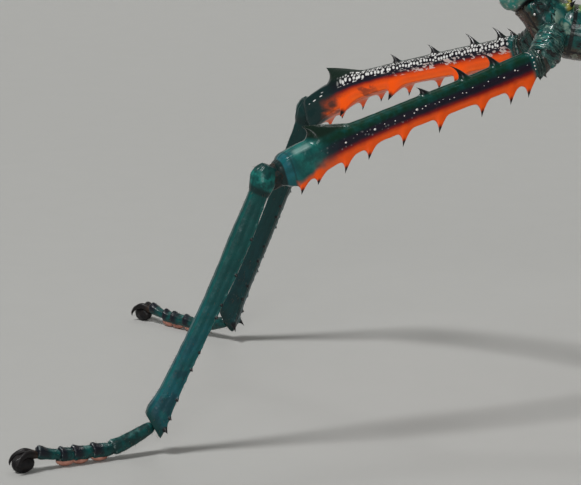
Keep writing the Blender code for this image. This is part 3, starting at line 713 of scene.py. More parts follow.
class Nodes:
    """A short way of writing down a node tree."""

    def __init__(self, tree):
        self.tree = tree

    def add(self, kind, inputs=(), **settings):
        """A node with its settings, and for each input a value or the socket that feeds it."""
        made = self.tree.nodes.new(kind)
        for key, setting in settings.items():
            setattr(made, key, setting)
        for key, given in dict(inputs).items():
            socket = made.inputs[key]
            if isinstance(given, bpy.types.NodeSocket):
                self.tree.links.new(given, socket)
            elif socket.type == "RGBA" and len(given) == 3:
                socket.default_value = (*given, 1.0)
            else:
                socket.default_value = given
        return made

    def one(self, kind, inputs=(), **settings):
        """The first output of a new node."""
        return self.add(kind, inputs, **settings).outputs[0]

    def value(self, operation, *terms):
        return self.one("ShaderNodeMath", dict(enumerate(terms)), operation=operation)

    def smooth(self, given, low, high):
        """0 below low, 1 above high and eased between; the other way round if low is higher."""
        inputs = {"Value": given, "From Min": low, "From Max": high}
        return self.one("ShaderNodeMapRange", inputs, interpolation_type="SMOOTHSTEP")


# --- materials ---


def mixed(a, b, t):
    return tuple(x + (y - x) * t for x, y in zip(a, b))


class Graph(Nodes):
    """The nodes of one material, whose colour is painted layer by layer."""

    def __init__(self, name):
        material = bpy.data.materials.new(name)
        material.use_nodes = True
        super().__init__(material.node_tree)
        self.place = self.add("ShaderNodeTexCoord").outputs["Object"]
        skin = self.one("ShaderNodeUVMap", uv_map="skin")
        self.along, round_it = self.add("ShaderNodeSeparateXYZ", {0: skin}).outputs[:2]
        turn = self.value("MULTIPLY", round_it, math.tau)
        self.above = self.value("SINE", turn)
        self.outward = self.value("COSINE", turn)
        self.tint = None

    def near(self, given, middle, half, soft):
        """1 within half of the middle, and 0 from soft beyond that."""
        gap = self.value("ABSOLUTE", self.value("SUBTRACT", given, middle))
        return self.smooth(gap, half + soft, half)

    def all_of(self, *masks):
        return functools.reduce(functools.partial(self.value, "MULTIPLY"), masks)

    def any_of(self, *masks):
        return functools.reduce(functools.partial(self.value, "MAXIMUM"), masks)

    def part(self, mask, amount):
        return self.value("MULTIPLY", mask, amount)

    def mix(self, mask, under, over):
        inputs = {0: mask, 6: under, 7: over}
        return self.add("ShaderNodeMix", inputs, data_type="RGBA").outputs[2]

    def paint(self, mask, colour, amount=None):
        """Lays a colour over the rest where the mask is, as strongly as the amount."""
        mask = mask if amount is None else self.part(mask, amount)
        self.tint = self.mix(mask, self.tint, colour)

    def ramp(self, given, stops):
        """A row of colours: each stop is a value and a colour, eased from one to the next."""
        made = self.add("ShaderNodeValToRGB", {0: given})
        elements = made.color_ramp.elements
        elements.remove(elements[1])
        for index, (place, tint) in enumerate(stops):
            element = elements[0] if index == 0 else elements.new(place)
            element.position = place
            element.color = (*tint, 1.0)
        return made.outputs[0]

    def noise(self, size, detail=3.0, rough=0.55, stretch=None, distortion=0.0):
        """Noise from about 0 to 1, with features about size millimetres across."""
        vector = self.place
        if stretch:
            vector = self.one("ShaderNodeMapping", {"Vector": vector, "Scale": stretch})
        inputs = {"Vector": vector, "Scale": 1.0 / (size * MM), "Detail": detail}
        inputs.update(Roughness=rough, Distortion=distortion)
        return self.one("ShaderNodeTexNoise", inputs)

    def cells(self, size):
        inputs = {"Vector": self.place, "Scale": 1.0 / (size * MM)}
        return self.one("ShaderNodeTexVoronoi", inputs)

    def dots(self, size, radius):
        """Round spots whose cells are size millimetres across."""
        return self.smooth(self.cells(size), radius * 1.25, radius * 0.8)

    def beads(self, per_length, level, radius, rise, offset=0.0):
        """A row of round beads along the skin at a level, uneven in size and in place."""
        at = self.value("MULTIPLY_ADD", self.along, per_length, offset)
        place = self.one("ShaderNodeCombineXYZ", {0: at, 1: self.value("DIVIDE", self.above, rise)})
        inputs = {"Vector": place, "Scale": 1.0, "Randomness": 0.55}
        gap = self.one("ShaderNodeTexVoronoi", inputs, voronoi_dimensions="2D")
        size = self.value("MULTIPLY_ADD", self.noise(1.1), radius, radius * 0.5)
        mask = self.smooth(self.value("DIVIDE", gap, size), 1.25, 0.75)
        return self.all_of(mask, self.near(self.above, level, rise * 0.55, rise * 0.15))

    def mark(self, name):
        return self.add("ShaderNodeAttribute", attribute_name=name).outputs["Fac"]

    def toned(self):
        """1 where the mark "tone" is, which sets one part of a shell apart."""
        return self.smooth(self.mark("tone"), 0.4, 0.6)

    def finish(self, roughness, heights=(), coat=0.0, coat_roughness=0.1):
        """Joins the colour and bumps of (height, millimetres) to the shader."""
        inputs = self.tree.nodes["Principled BSDF"].inputs
        self.tree.links.new(self.tint, inputs["Base Color"])
        inputs["Roughness"].default_value = roughness
        inputs["Coat Weight"].default_value = coat
        inputs["Coat Roughness"].default_value = coat_roughness
        inputs["Specular IOR Level"].default_value = SPECULAR
        normal = None
        for height, depth in heights:
            bump = {"Height": height, "Distance": depth * MM, "Strength": 1.0}
            if normal:
                bump["Normal"] = normal
            normal = self.one("ShaderNodeBump", bump)
        if normal:
            self.tree.links.new(normal, inputs["Normal"])


def made_once(paint):
    """The material that a function paints, made on its first call and kept."""

    def get():
        name = "insect_" + paint.__name__
        if name not in bpy.data.materials:
            paint(Graph(name), colours())
        return bpy.data.materials[name]

    return get


def fine_bumps(g):
    """The small wrinkles and pits that every shell has."""
    return ((g.noise(0.5, 4.0, 0.6), 0.035), (g.cells(0.28), 0.012))


@made_once
def thigh_shell(g, c):
    """Green above, a dark band with pale spots, then crimson to an orange keel; painted glints on
    the inner face, a painted highlight near the knee and painted shade on the knee end's inner
    side.
    """
    wobble = g.value("SUBTRACT", g.noise(1.3, 3.0), 0.5)
    level = g.value("MULTIPLY_ADD", wobble, 0.16, g.above)
    from_below = g.value("MULTIPLY_ADD", level, 0.5, 0.5)
    green = g.mix(g.smooth(g.noise(0.9, 4.0), 0.35, 0.75), c.green, mixed(c.green, c.teal, 0.6))
    keel = mixed(c.orange, c.ochre, 0.15)
    outer = g.ramp(
        from_below,
        (
            (0.10, keel),
            (0.24, c.orange),
            (0.31, mixed(c.orange, c.crimson, 0.45)),
            (0.38, c.crimson),
            (0.45, mixed(c.crimson, c.navy, 0.8)),
            (0.50, c.navy),
        ),
    )
    outer = g.mix(g.smooth(level, 0.30, 0.62), outer, green)
    inner = g.ramp(
        from_below,
        (
            (0.10, keel),
            (0.34, c.orange),
            (0.46, mixed(c.orange, c.crimson, 0.45)),
            (0.54, c.crimson),
            (0.60, c.navy),
            (0.90, c.black),
        ),
    )
    g.tint = g.mix(g.smooth(g.outward, -0.25, 0.1), inner, outer)
    outside = g.smooth(g.outward, 0.0, 0.3)
    faint = g.all_of(
        g.dots(0.55, 0.20), g.near(g.above, 0.12, 0.24, 0.1), outside, g.smooth(g.along, 0.35, 0.6)
    )
    g.paint(faint, mixed(c.white, c.navy, 0.5), 0.3)
    inside = g.smooth(g.outward, -0.1, -0.35)
    rows = g.any_of(g.beads(78.0, 0.80, 0.30, 0.17), g.beads(70.0, 0.52, 0.36, 0.24, 5.3))
    g.paint(g.all_of(rows, inside, g.smooth(g.along, 0.84, 0.80)), c.white)
    late = g.all_of(g.beads(29.0, 0.42, 0.20, 0.17, 2.1), inside, g.near(g.along, 0.93, 0.03, 0.01))
    # Painted glints: pale pink-white patches on the inner face stand in for reflections.
    painted_glints = g.smooth(g.noise(1.0, 4.0, 0.6, stretch=(1.0, 1.0, 2.2)), 0.53, 0.57)
    painted_glints = g.all_of(
        painted_glints, inside, g.near(g.above, 0.14, 0.20, 0.08), g.smooth(g.along, 0.65, 0.45)
    )
    g.paint(painted_glints, mixed(c.white, c.pink, 0.4), 0.85)
    stains = g.smooth(g.noise(1.6, 3.0, 0.5, stretch=(1.0, 1.0, 1.6)), 0.46, 0.62)
    stains = g.all_of(stains, inside, g.smooth(g.above, 0.0, -0.25), g.smooth(g.along, 0.55, 0.75))
    g.paint(stains, mixed(c.brown, c.crimson, 0.3), 0.75)
    rim = g.mix(
        g.smooth(g.noise(0.9), 0.4, 0.7), mixed(c.teal, c.blue, 0.35), mixed(c.teal, c.blue, 0.8)
    )
    ends = g.mix(g.smooth(g.noise(1.2), 0.4, 0.7), c.teal, mixed(c.teal, c.bright_teal, 0.5))
    ends = g.mix(g.part(g.smooth(g.along, 0.95, 0.99), 0.7), ends, rim)
    # Painted highlight: a pale streak on the upper side just before the knee.
    painted_highlight = g.all_of(g.near(g.above, 0.80, 0.05, 0.12), g.near(g.along, 0.925, 0.02, 0.02))
    ends = g.mix(g.part(painted_highlight, 0.5), ends, mixed(c.bright_teal, c.white, 0.35))
    line = g.part(g.near(g.along, 0.974, 0.001, 0.004), 0.5)
    ends = g.mix(line, ends, mixed(c.teal, c.black, 0.6))
    # Painted shade: the knee end is darkened on its inner side.
    ends = g.mix(g.smooth(g.outward, -0.1, -0.5), ends, mixed(c.teal, c.black, 0.75))
    at_end = g.smooth(g.value("MULTIPLY_ADD", wobble, 0.10, g.along), 0.78, 0.93)
    low = g.any_of(g.smooth(g.above, -0.75, -0.45), g.smooth(g.along, 0.955, 0.98))
    # The end colouring, with its painted shade, reaches further back on the inner face.
    low = g.any_of(low, g.all_of(inside, g.smooth(g.along, 0.88, 0.93)))
    g.paint(g.all_of(at_end, low), ends)
    g.paint(late, c.white)
    g.paint(g.smooth(g.along, 0.035, 0.012), c.teal)
    g.paint(g.smooth(g.along, 1.000, 1.006), mixed(c.black, c.teal, 0.2))
    thorn = g.mark("thorn")
    below = g.smooth(g.above, 0.1, -0.1)
    low = g.part(g.smooth(g.along, 0.92, 0.955), 0.3)
    foot = g.smooth(g.value("SUBTRACT", thorn, low), 0.02, 0.2)
    bright = g.any_of(g.smooth(g.outward, -0.35, -0.1), g.smooth(g.along, 0.91, 0.88))
    g.paint(g.all_of(foot, below, bright), c.orange)
    g.paint(g.all_of(g.smooth(thorn, 0.50, 0.75), below), c.black)
    above = g.smooth(g.above, -0.1, 0.1)
    fin = g.smooth(g.along, 0.70, 0.74)
    dark = g.mix(fin, c.black, mixed(c.green, c.black, 0.55))
    g.paint(g.all_of(g.smooth(thorn, 0.04, 0.30), above), dark)
    g.finish(0.30, fine_bumps(g), 0.2, 0.05)


@made_once
def shin_shell(g, c):
    """Dark teal with painted highlights along the ridges and on the head at the knee, painted shade
    on the inner side, and dark thorns.
    """
    mottle = g.smooth(g.noise(1.4, 5.0, 0.6, stretch=(1.0, 1.0, 0.7)), 0.35, 0.7)
    upper = g.mix(mottle, mixed(c.teal, c.black, 0.35), mixed(c.teal, c.green, 0.15))
    lower = g.mix(mottle, mixed(c.teal, c.blue, 0.1), mixed(c.teal, c.blue, 0.4))
    g.tint = g.mix(g.smooth(g.along, 0.25, 0.85), upper, lower)
    blots = g.all_of(g.smooth(g.noise(2.0, 3.0, 0.5), 0.48, 0.60), g.smooth(g.along, 0.5, 0.8))
    g.paint(blots, mixed(c.blue, c.black, 0.75), 0.65)
    # Painted highlight: a faint light streak along the edge ridges.
    edge = g.near(g.value("ABSOLUTE", g.above), 0.71, 0.03, 0.10)
    g.paint(edge, c.bright_teal, 0.12)
    # Painted highlight: bright teal patches on the head at the knee, on its outer side.
    head = g.all_of(g.smooth(g.along, 0.05, 0.02), g.smooth(g.noise(0.9, 2.0), 0.42, 0.60))
    head = g.all_of(head, g.smooth(g.outward, -0.6, -0.1))
    g.paint(head, c.bright_teal, 0.55)
    g.paint(g.smooth(g.along, 0.0, -0.03), mixed(c.teal, c.black, 0.7), 0.8)
    g.paint(g.near(g.along, 0.052, 0.006, 0.012), mixed(c.teal, c.black, 0.7))
    g.paint(g.smooth(g.along, 0.93, 0.985), mixed(c.teal, c.black, 0.5))
    # Painted shade: the inner side of the shin is darkened.
    g.paint(g.smooth(g.outward, -0.05, -0.5), mixed(c.teal, c.black, 0.8), 0.8)
    g.paint(g.smooth(g.mark("thorn"), 0.1, 0.4), c.black)
    g.finish(0.34, fine_bumps(g), 0.1)


@made_once
def hip_shell(g, c):
    """Grey green and teal, wrinkled in arcs round the joint, with painted highlights on the wrinkle
    crests and painted shade in the creases.
    """
    base = g.ramp(
        g.noise(1.8, 3.0),
        (
            (0.38, mixed(c.teal, c.black, 0.75)),
            (0.50, mixed(c.teal, c.grey, 0.25)),
            (0.58, mixed(c.teal, c.black, 0.25)),
            (0.68, mixed(c.teal, c.bright_teal, 0.5)),
        ),
    )
    arcs = g.value("SINE", g.value("MULTIPLY_ADD", g.along, 23.0, g.part(g.noise(1.9, 2.0), 16.0)))
    fine = g.value("SINE", g.value("MULTIPLY_ADD", g.along, 74.0, g.part(g.noise(1.4, 2.0), 12.0)))
    # Painted highlights: pale lines on the crests of the fine wrinkles and, in patches, of the
    # arcs.
    highlight_patches = g.smooth(g.noise(1.1, 3.0), 0.42, 0.62)
    ripple_highlight = g.part(g.smooth(fine, 0.2, 0.95), 0.18)
    g.tint = g.mix(ripple_highlight, base, mixed(c.bright_teal, c.cream, 0.3))
    pale = g.all_of(g.smooth(arcs, 0.86, 0.98), highlight_patches)
    g.paint(pale, mixed(c.bright_teal, c.cream, 0.4), 0.7)
    # Painted shade: black in the troughs of the arcs.
    crease_shade = g.all_of(g.smooth(arcs, -0.78, -0.95), g.smooth(g.noise(1.5, 2.0), 0.40, 0.55))
    g.paint(crease_shade, c.black, 0.95)
    g.paint(g.toned(), mixed(c.grey, c.black, 0.5))
    g.paint(g.smooth(g.mark("thorn"), 0.15, 0.5), c.black)
    g.finish(0.24, ((arcs, 0.09), (fine, 0.02)) + fine_bumps(g), 0.45)


@made_once
def thorax_shell(g, c):
    """Green on the back, teal and creased at the sides, with painted highlights and painted shade
    along the folds, and grey brown below.
    """
    mottle = g.noise(1.6, 5.0, 0.62)
    blotch = g.smooth(mottle, 0.38, 0.68)
    side = g.mix(blotch, mixed(c.teal, c.black, 0.75), mixed(c.teal, c.bright_teal, 0.2))
    back = g.mix(g.smooth(mottle, 0.35, 0.68), c.green, c.yellow_green)
    g.tint = g.mix(g.smooth(g.value("MULTIPLY_ADD", mottle, 0.3, g.above), 0.88, 1.14), side, back)
    throat = g.mix(
        g.smooth(mottle, 0.38, 0.62), mixed(c.brown, c.black, 0.5), mixed(c.grey, c.brown, 0.4)
    )
    g.paint(g.smooth(g.value("MULTIPLY_ADD", mottle, 0.6, g.above), 0.0, -0.35), throat)
    folds = g.noise(2.3, 2.0, 0.45, distortion=1.3)
    flank = g.smooth(g.above, 0.7, 0.35)
    # Painted highlights: pale streaks along one side of each fold.
    pale = g.all_of(g.near(folds, 0.56, 0.01, 0.05), flank, g.smooth(mottle, 0.45, 0.62))
    g.paint(pale, mixed(c.bright_teal, c.cream, 0.5), 0.65)
    # Painted shade: thin black lines in the fold creases.
    g.paint(g.all_of(g.near(folds, 0.49, 0.010, 0.018), flank), c.black)
    edge = g.any_of(g.near(g.along, 0.016, 0.006, 0.005), g.near(g.above, -0.62, 0.03, 0.03))
    g.paint(edge, c.black, 0.9)
    g.paint(g.toned(), c.cream)
    thorn = g.mark("thorn")
    g.paint(g.smooth(thorn, 0.08, 0.3), mixed(c.yellow_green, c.ochre, 0.4))
    g.paint(g.smooth(thorn, 0.34, 0.5), c.black)
    g.finish(0.26, ((folds, 0.30), (mottle, 0.05)) + fine_bumps(g), 0.3)


@made_once
def abdomen_shell(g, c):
    """Each plate is teal, paler in front, with an ochre and then a black rear edge."""
    mottle = g.noise(1.8, 5.0, 0.6)
    g.tint = g.mix(g.smooth(mottle, 0.36, 0.66), c.teal, mixed(c.bright_teal, c.green, 0.5))
    g.paint(g.smooth(g.above, -0.45, -0.85), mixed(c.teal, c.grey, 0.75))
    step = g.value("MULTIPLY_ADD", g.value("SUBTRACT", mottle, 0.5), 0.12, g.along)
    front = g.all_of(g.smooth(step, 0.24, 0.08), g.smooth(g.above, -0.3, 0.3))
    g.paint(front, mixed(c.yellow_green, c.white, 0.35), 0.7)
    g.paint(g.smooth(step, 0.80, 0.90), c.ochre, 0.85)
    g.paint(g.smooth(g.along, 0.955, 0.975), c.black)
    g.paint(g.dots(0.9, 0.2), mixed(c.white, c.teal, 0.4), 0.45)
    stripe = g.all_of(g.near(g.above, 0.985, 0.012, 0.01), g.smooth(g.along, 0.05, 0.2))
    g.paint(stripe, c.black, 0.5)
    g.paint(g.toned(), mixed(c.ochre, c.teal, 0.6))
    g.finish(0.38, ((mottle, 0.05),) + fine_bumps(g), 0.2, 0.2)


@made_once
def head_shell(g, c):
    """Bright blue-green, yellower on the crown, with dark lines behind the eyes."""
    mottle = g.noise(1.1, 5.0, 0.62)
    g.tint = g.mix(g.smooth(mottle, 0.35, 0.62), c.teal, c.bright_teal)
    crown = g.mix(g.smooth(mottle, 0.4, 0.6), c.yellow_green, mixed(c.yellow_green, c.ochre, 0.6))
    g.paint(g.smooth(g.above, 0.45, 0.85), crown, 0.7)
    cheek = g.all_of(g.near(g.above, 0.28, 0.05, 0.07), g.smooth(g.along, 4.2, 3.6))
    g.paint(cheek, c.black, 0.85)
    pale = g.all_of(g.near(g.above, 0.05, 0.08, 0.08), g.smooth(g.along, 5.0, 3.5))
    g.paint(pale, mixed(c.cream, c.yellow_green, 0.3), 0.6)
    lobe = g.mix(g.smooth(mottle, 0.4, 0.65), c.bright_teal, mixed(c.bright_teal, c.cream, 0.45))
    g.paint(g.smooth(g.above, -0.25, -0.6), lobe)
    g.paint(g.smooth(g.along, 0.5, 0.1), c.black)
    face = g.value("MULTIPLY_ADD", g.value("SUBTRACT", mottle, 0.5), 0.8, g.along)
    g.paint(g.smooth(face, 6.2, 6.9), mixed(c.ochre, c.grey, 0.4), 0.75)
    seam = g.all_of(g.near(g.along, 6.72, 0.03, 0.07), g.smooth(g.above, -0.3, 0.1))
    g.paint(seam, mixed(c.brown, c.black, 0.6), 0.8)
    gular = g.all_of(g.near(g.outward, 0.0, 0.03, 0.04), g.smooth(g.above, -0.6, -0.8))
    g.paint(gular, mixed(c.teal, c.black, 0.6), 0.7)
    g.paint(g.dots(0.6, 0.22), mixed(c.white, c.bright_teal, 0.4), 0.5)
    thorn = g.mark("thorn")
    g.paint(g.smooth(thorn, 0.1, 0.3), c.ochre)
    g.paint(g.smooth(thorn, 0.36, 0.5), c.black)
    g.finish(0.32, ((mottle, 0.04),) + fine_bumps(g), 0.3, 0.15)


@made_once
def soft_skin(g, c):
    """The wrinkled membrane between shells: cream, grey brown where it is thick."""
    folds = g.noise(0.55, 5.0, 0.65, distortion=0.8)
    g.tint = g.mix(
        g.smooth(folds, 0.35, 0.65), mixed(c.grey, c.black, 0.2), mixed(c.cream, c.grey, 0.35)
    )
    g.paint(g.toned(), g.mix(folds, c.cream, mixed(c.cream, c.white, 0.5)))
    hinge = g.mix(
        g.smooth(folds, 0.45, 0.65), mixed(c.black, c.teal, 0.15), mixed(c.brown, c.black, 0.7)
    )
    g.paint(g.smooth(g.mark("thorn"), 0.3, 0.6), hinge)
    g.finish(0.42, ((folds, 0.09), (g.cells(0.3), 0.03)))


@made_once
def foot_shell(g, c):
    """Dark teal with a painted highlight above and painted glints at the rims, and pale orange pads
    below.
    """
    mottle = g.noise(0.8, 4.0, 0.6)
    g.tint = g.mix(
        g.smooth(mottle, 0.36, 0.66), mixed(c.teal, c.black, 0.7), mixed(c.teal, c.black, 0.15)
    )
    # Painted highlight on the upper side.
    top = g.all_of(g.smooth(g.above, 0.55, 0.9), g.smooth(mottle, 0.42, 0.7))
    g.paint(top, mixed(c.bright_teal, c.white, 0.2), 0.25)
    later = g.value("SUBTRACT", 1.0, g.near(g.mark("tone"), 0.2, 0.05, 0.05))
    flap = g.all_of(g.smooth(g.along, 0.35, 0.75), g.smooth(g.above, -0.7, 0.0), later)
    g.paint(flap, mixed(c.black, c.navy, 0.5), 0.9)
    # Painted glints round the rim of each tarsomere.
    edge = g.all_of(g.near(g.along, 0.955, 0.008, 0.012), g.smooth(g.noise(0.4), 0.46, 0.6))
    g.paint(edge, mixed(c.teal, c.white, 0.3), 0.4)
    pad = g.mark("tone")
    soft = g.mix(
        g.smooth(mottle, 0.35, 0.65), mixed(c.pink, c.brown, 0.45), mixed(c.pink, c.cream, 0.2)
    )
    soft = g.mix(g.smooth(g.above, -0.10, 0.30), soft, mixed(c.teal, c.black, 0.7))
    g.paint(g.smooth(pad, 0.45, 0.55), soft)
    g.finish(0.34, fine_bumps(g), 0.15)


@made_once
def claw_horn(g, c):
    """Glossy black, brown at the root, and a dull blackish pad between the claws."""
    streak = g.noise(0.4, 3.0)
    g.tint = g.mix(g.smooth(g.along, 0.3, 0.05), c.black, mixed(c.brown, c.black, 0.6))
    g.paint(streak, c.brown, 0.06)
    pad = g.mix(g.smooth(streak, 0.4, 0.7), c.black, mixed(c.brown, c.black, 0.92))
    g.paint(g.toned(), pad)
    g.finish(0.42, ((streak, 0.04),), 0.05)


@made_once
def feeler_shell(g, c):
    """Dark brown rings with paler joints, paler still every few rings."""
    g.tint = g.mix(g.smooth(g.mark("tone"), 0.35, 0.65), mixed(c.brown, c.black, 0.35), c.brown)
    joint = g.smooth(g.mark("thorn"), 0.75, 1.0)
    g.paint(joint, mixed(c.cream, c.brown, 0.35), 0.7)
    grain = g.noise(0.25, 3.0)
    g.paint(grain, c.black, 0.25)
    g.finish(0.5, ((grain, 0.015),), 0.05)


@made_once
def mouth_horn(g, c):
    """Olive brown lips and palps with dark jaw edges."""
    mottle = g.noise(0.5, 4.0)
    g.tint = g.mix(
        g.smooth(mottle, 0.38, 0.62), mixed(c.brown, c.green, 0.3), mixed(c.ochre, c.grey, 0.35)
    )
    jaw = g.mix(
        g.smooth(g.noise(0.9, 2.0), 0.42, 0.6),
        mixed(c.brown, c.black, 0.85),
        mixed(c.brown, c.ochre, 0.25),
    )
    g.paint(g.toned(), jaw)
    g.paint(g.smooth(g.along, 0.8, 1.0), mixed(c.cream, c.ochre, 0.3), 0.6)
    g.finish(0.36, ((mottle, 0.03), (g.cells(0.2), 0.01)), 0.2)


@made_once
def eye_glass(g, c):
    """A glossy domed eye: fine facets over bands of brown."""
    cloud = g.noise(0.9, 4.0, 0.6, stretch=(0.5, 0.5, 1.6))
    g.tint = g.mix(
        g.smooth(cloud, 0.34, 0.62), mixed(c.brown, c.black, 0.65), mixed(c.ochre, c.brown, 0.6)
    )
    g.paint(g.smooth(g.noise(0.35, 4.0), 0.45, 0.62), mixed(c.black, c.brown, 0.2), 0.55)
    g.finish(0.12, ((g.cells(0.05), 0.004),), 0.8, 0.04)


@made_once
def wing_leather(g, c):
    """Black wing cases with yellow and blue, over a folded pink fan with dark veins."""
    blotch = g.noise(1.4, 4.0, 0.6)
    yellow = mixed(c.ochre, c.yellow_green, 0.3)
    case = g.ramp(blotch, ((0.38, c.black), (0.50, c.navy), (0.58, c.blue), (0.68, yellow)))
    case = g.mix(
        g.part(g.smooth(g.mark("thorn"), 0.5, 0.9), 0.8), case, mixed(c.ochre, c.yellow_green, 0.4)
    )
    fan = g.mix(g.smooth(blotch, 0.4, 0.6), mixed(c.pink, c.crimson, 0.35), c.pink)
    outer = g.mix(g.smooth(blotch, 0.42, 0.6), c.black, mixed(c.blue, c.black, 0.4))
    fan = g.mix(g.smooth(g.outward, 0.75, 0.55), fan, outer)
    g.tint = g.mix(g.toned(), case, fan)
    g.paint(g.smooth(g.mark("growth"), 0.3, 0.8), c.black, 0.6)
    g.finish(0.45, ((blotch, 0.03), (g.cells(0.35), 0.02)), 0.1)


@made_once
def bristle_horn(g, c):
    """Fine bristles, brown and paler in places."""
    g.tint = g.mix(g.noise(2.0), mixed(c.brown, c.black, 0.5), mixed(c.brown, c.cream, 0.35))
    g.finish(0.4)


@made_once
def granule_horn(g, c):
    """Small domed granules, white to pale grey."""
    g.tint = g.mix(g.smooth(g.noise(0.8), 0.35, 0.6), c.white, mixed(c.white, c.pink, 0.18))
    g.finish(0.3, ((g.noise(0.1), 0.01),), 0.3)


@made_once
def plain_floor(g, c):
    """The matt studio floor."""
    grain = g.noise(6.0, 3.0)
    g.tint = g.mix(g.part(grain, 0.03), tuple(stage().floor), (0.9, 0.9, 0.9))
    g.finish(0.85, (), 0.0, 0.2)


# --- node trees for what repeats ---


class Growth(Nodes):
    """A geometry tree with named inputs, given as name and kind."""

    def __init__(self, name, **sockets):
        super().__init__(bpy.data.node_groups.new(name, "GeometryNodeTree"))
        for title, kind in (("Geometry", "Geometry"), *sockets.items()):
            kind = "NodeSocket" + kind
            self.tree.interface.new_socket(name=title, in_out="INPUT", socket_type=kind)
        self.tree.interface.new_socket(
            name="Geometry", in_out="OUTPUT", socket_type="NodeSocketGeometry"
        )
        self.given = self.tree.nodes.new("NodeGroupInput").outputs

    def field(self, name, kind="FLOAT_VECTOR"):
        return self.one("GeometryNodeInputNamedAttribute", {0: name}, data_type=kind)

    def vector(self, operation, inputs):
        return self.one("ShaderNodeVectorMath", inputs, operation=operation)

    def turned(self, vector, **settings):
        return self.one("FunctionNodeAlignRotationToVector", vector, **settings)

    def spread(self):
        """Places on the surface, denser where the mark "growth" is higher."""
        many = self.value("MULTIPLY", self.field("growth", "FLOAT"), self.given["Density"])
        inputs = {"Mesh": self.given["Geometry"], "Density": many, "Seed": self.given["Seed"]}
        return self.add("GeometryNodeDistributePointsOnFaces", inputs).outputs

    def sizes(self, low, high):
        inputs = {2: low, 3: high, "Seed": self.given["Seed"]}
        return self.add("FunctionNodeRandomValue", inputs, data_type="FLOAT").outputs[1]

    def dome(self, radius, segments, scale):
        inputs = {"Radius": radius, "Segments": segments, "Rings": DOME_RINGS}
        ball = self.one("GeometryNodeMeshUVSphere", inputs)
        return self.one("GeometryNodeTransform", {"Geometry": ball, "Scale": scale})

    def grow(self, points, shape_, turn, size):
        inputs = {"Points": points, "Instance": shape_, "Rotation": turn, "Scale": size}
        self.finish(self.one("GeometryNodeInstanceOnPoints", inputs))

    def marked(self, geometry, name, field):
        inputs = {"Geometry": geometry, "Name": name, "Value": field}
        kinds = {"data_type": "FLOAT", "domain": "POINT"}
        return self.one("GeometryNodeStoreNamedAttribute", inputs, **kinds)

    def finish(self, geometry):
        """Instances made real, shaded smooth, with their material."""
        real = self.one("GeometryNodeRealizeInstances", {0: geometry})
        smooth = self.one("GeometryNodeSetShadeSmooth", {0: real})
        inputs = {"Geometry": smooth, "Material": self.given["Material"]}
        dressed = self.one("GeometryNodeSetMaterial", inputs)
        self.tree.links.new(dressed, self.tree.nodes.new("NodeGroupOutput").inputs[0])


def grow_bristles():
    """Bristles scattered where the mark "growth" is high, leaning along the mark "flow"."""
    kinds = {"Density": "Float", "Length": "Float", "Width": "Float", "Lean": "Float"}
    t = Growth("bristles", **kinds, Seed="Int", Material="Material")
    points = t.spread()
    slant = t.vector("SCALE", {0: t.field("flow"), "Scale": t.given["Lean"]})
    ahead = t.vector("ADD", {0: points["Normal"], 1: slant})
    stray_inputs = {0: (-0.3, -0.3, -0.3), 1: (0.3, 0.3, 0.3), "Seed": t.given["Seed"]}
    stray = t.one("FunctionNodeRandomValue", stray_inputs, data_type="FLOAT_VECTOR")
    turn = t.turned({"Vector": t.vector("ADD", {0: ahead, 1: stray})}, axis="Z")
    cone_inputs = {
        "Vertices": 3,
        "Radius Top": 0.0,
        "Radius Bottom": t.given["Width"],
        "Depth": t.given["Length"],
    }
    cone = t.one("GeometryNodeMeshCone", cone_inputs, fill_type="TRIANGLE_FAN")
    t.grow(points["Points"], cone, turn, t.sizes(0.55, 1.15))


def grow_granules():
    """Low domes on a surface where the mark "growth" is high, half sunk into it."""
    t = Growth("granules", Density="Float", Radius="Float", Seed="Int", Material="Material")
    points = t.spread()
    dome = t.dome(t.given["Radius"], 8, (1.0, 1.0, 0.6))
    t.grow(points["Points"], dome, points["Rotation"], t.sizes(0.45, 1.25))


def grow_spots():
    """A raised spot on each vertex, turned to its "aim" and as large as its "size"."""
    t = Growth("spots", Flatness="Float", Material="Material")
    turn = t.turned({"Vector": t.field("aim")}, axis="Z")
    turn = t.turned({"Rotation": turn, "Vector": t.field("flow")}, axis="X", pivot_axis="Z")
    scale = t.one("ShaderNodeCombineXYZ", {0: 1.0, 1: 1.0, 2: t.given["Flatness"]})
    t.grow(t.given["Geometry"], t.dome(1.0, 10, scale), turn, t.field("size"))


def grow_feeler():
    """A ringed feeler along a curve, whose point radii give its thickness."""
    t = Growth("feeler", Rings="Int", Waist="Float", Flare="Float", Material="Material")
    points = t.value("MULTIPLY_ADD", t.given["Rings"], 10.0, 1.0)
    inputs = {"Curve": t.given["Geometry"], "Count": points}
    curve = t.one("GeometryNodeResampleCurve", inputs)
    at = t.value("MULTIPLY", t.one("GeometryNodeSplineParameter"), t.given["Rings"])
    part = t.value("FRACT", at)
    joint = t.smooth(t.value("ABSOLUTE", t.value("SUBTRACT", part, 0.5)), 0.40, 0.5)
    flared = t.value("MULTIPLY_ADD", part, t.given["Flare"], 1.0)
    keep = t.value("SUBTRACT", flared, t.value("MULTIPLY", joint, t.given["Waist"]))
    width = t.value("MULTIPLY", t.one("GeometryNodeInputRadius"), keep)
    curve = t.marked(curve, "thorn", joint)
    pale = t.value("LESS_THAN", t.value("MODULO", at, PALE_EVERY), 1.0)
    curve = t.marked(curve, "tone", pale)
    circle = t.one("GeometryNodeCurvePrimitiveCircle", {"Resolution": 14, "Radius": 1.0})
    inputs = {"Curve": curve, "Profile Curve": circle, "Scale": width, "Fill Caps": True}
    t.finish(t.one("GeometryNodeCurveToMesh", inputs))


GROWERS = {
    "bristles": grow_bristles,
    "granules": grow_granules,
    "spots": grow_spots,
    "feeler": grow_feeler,
}


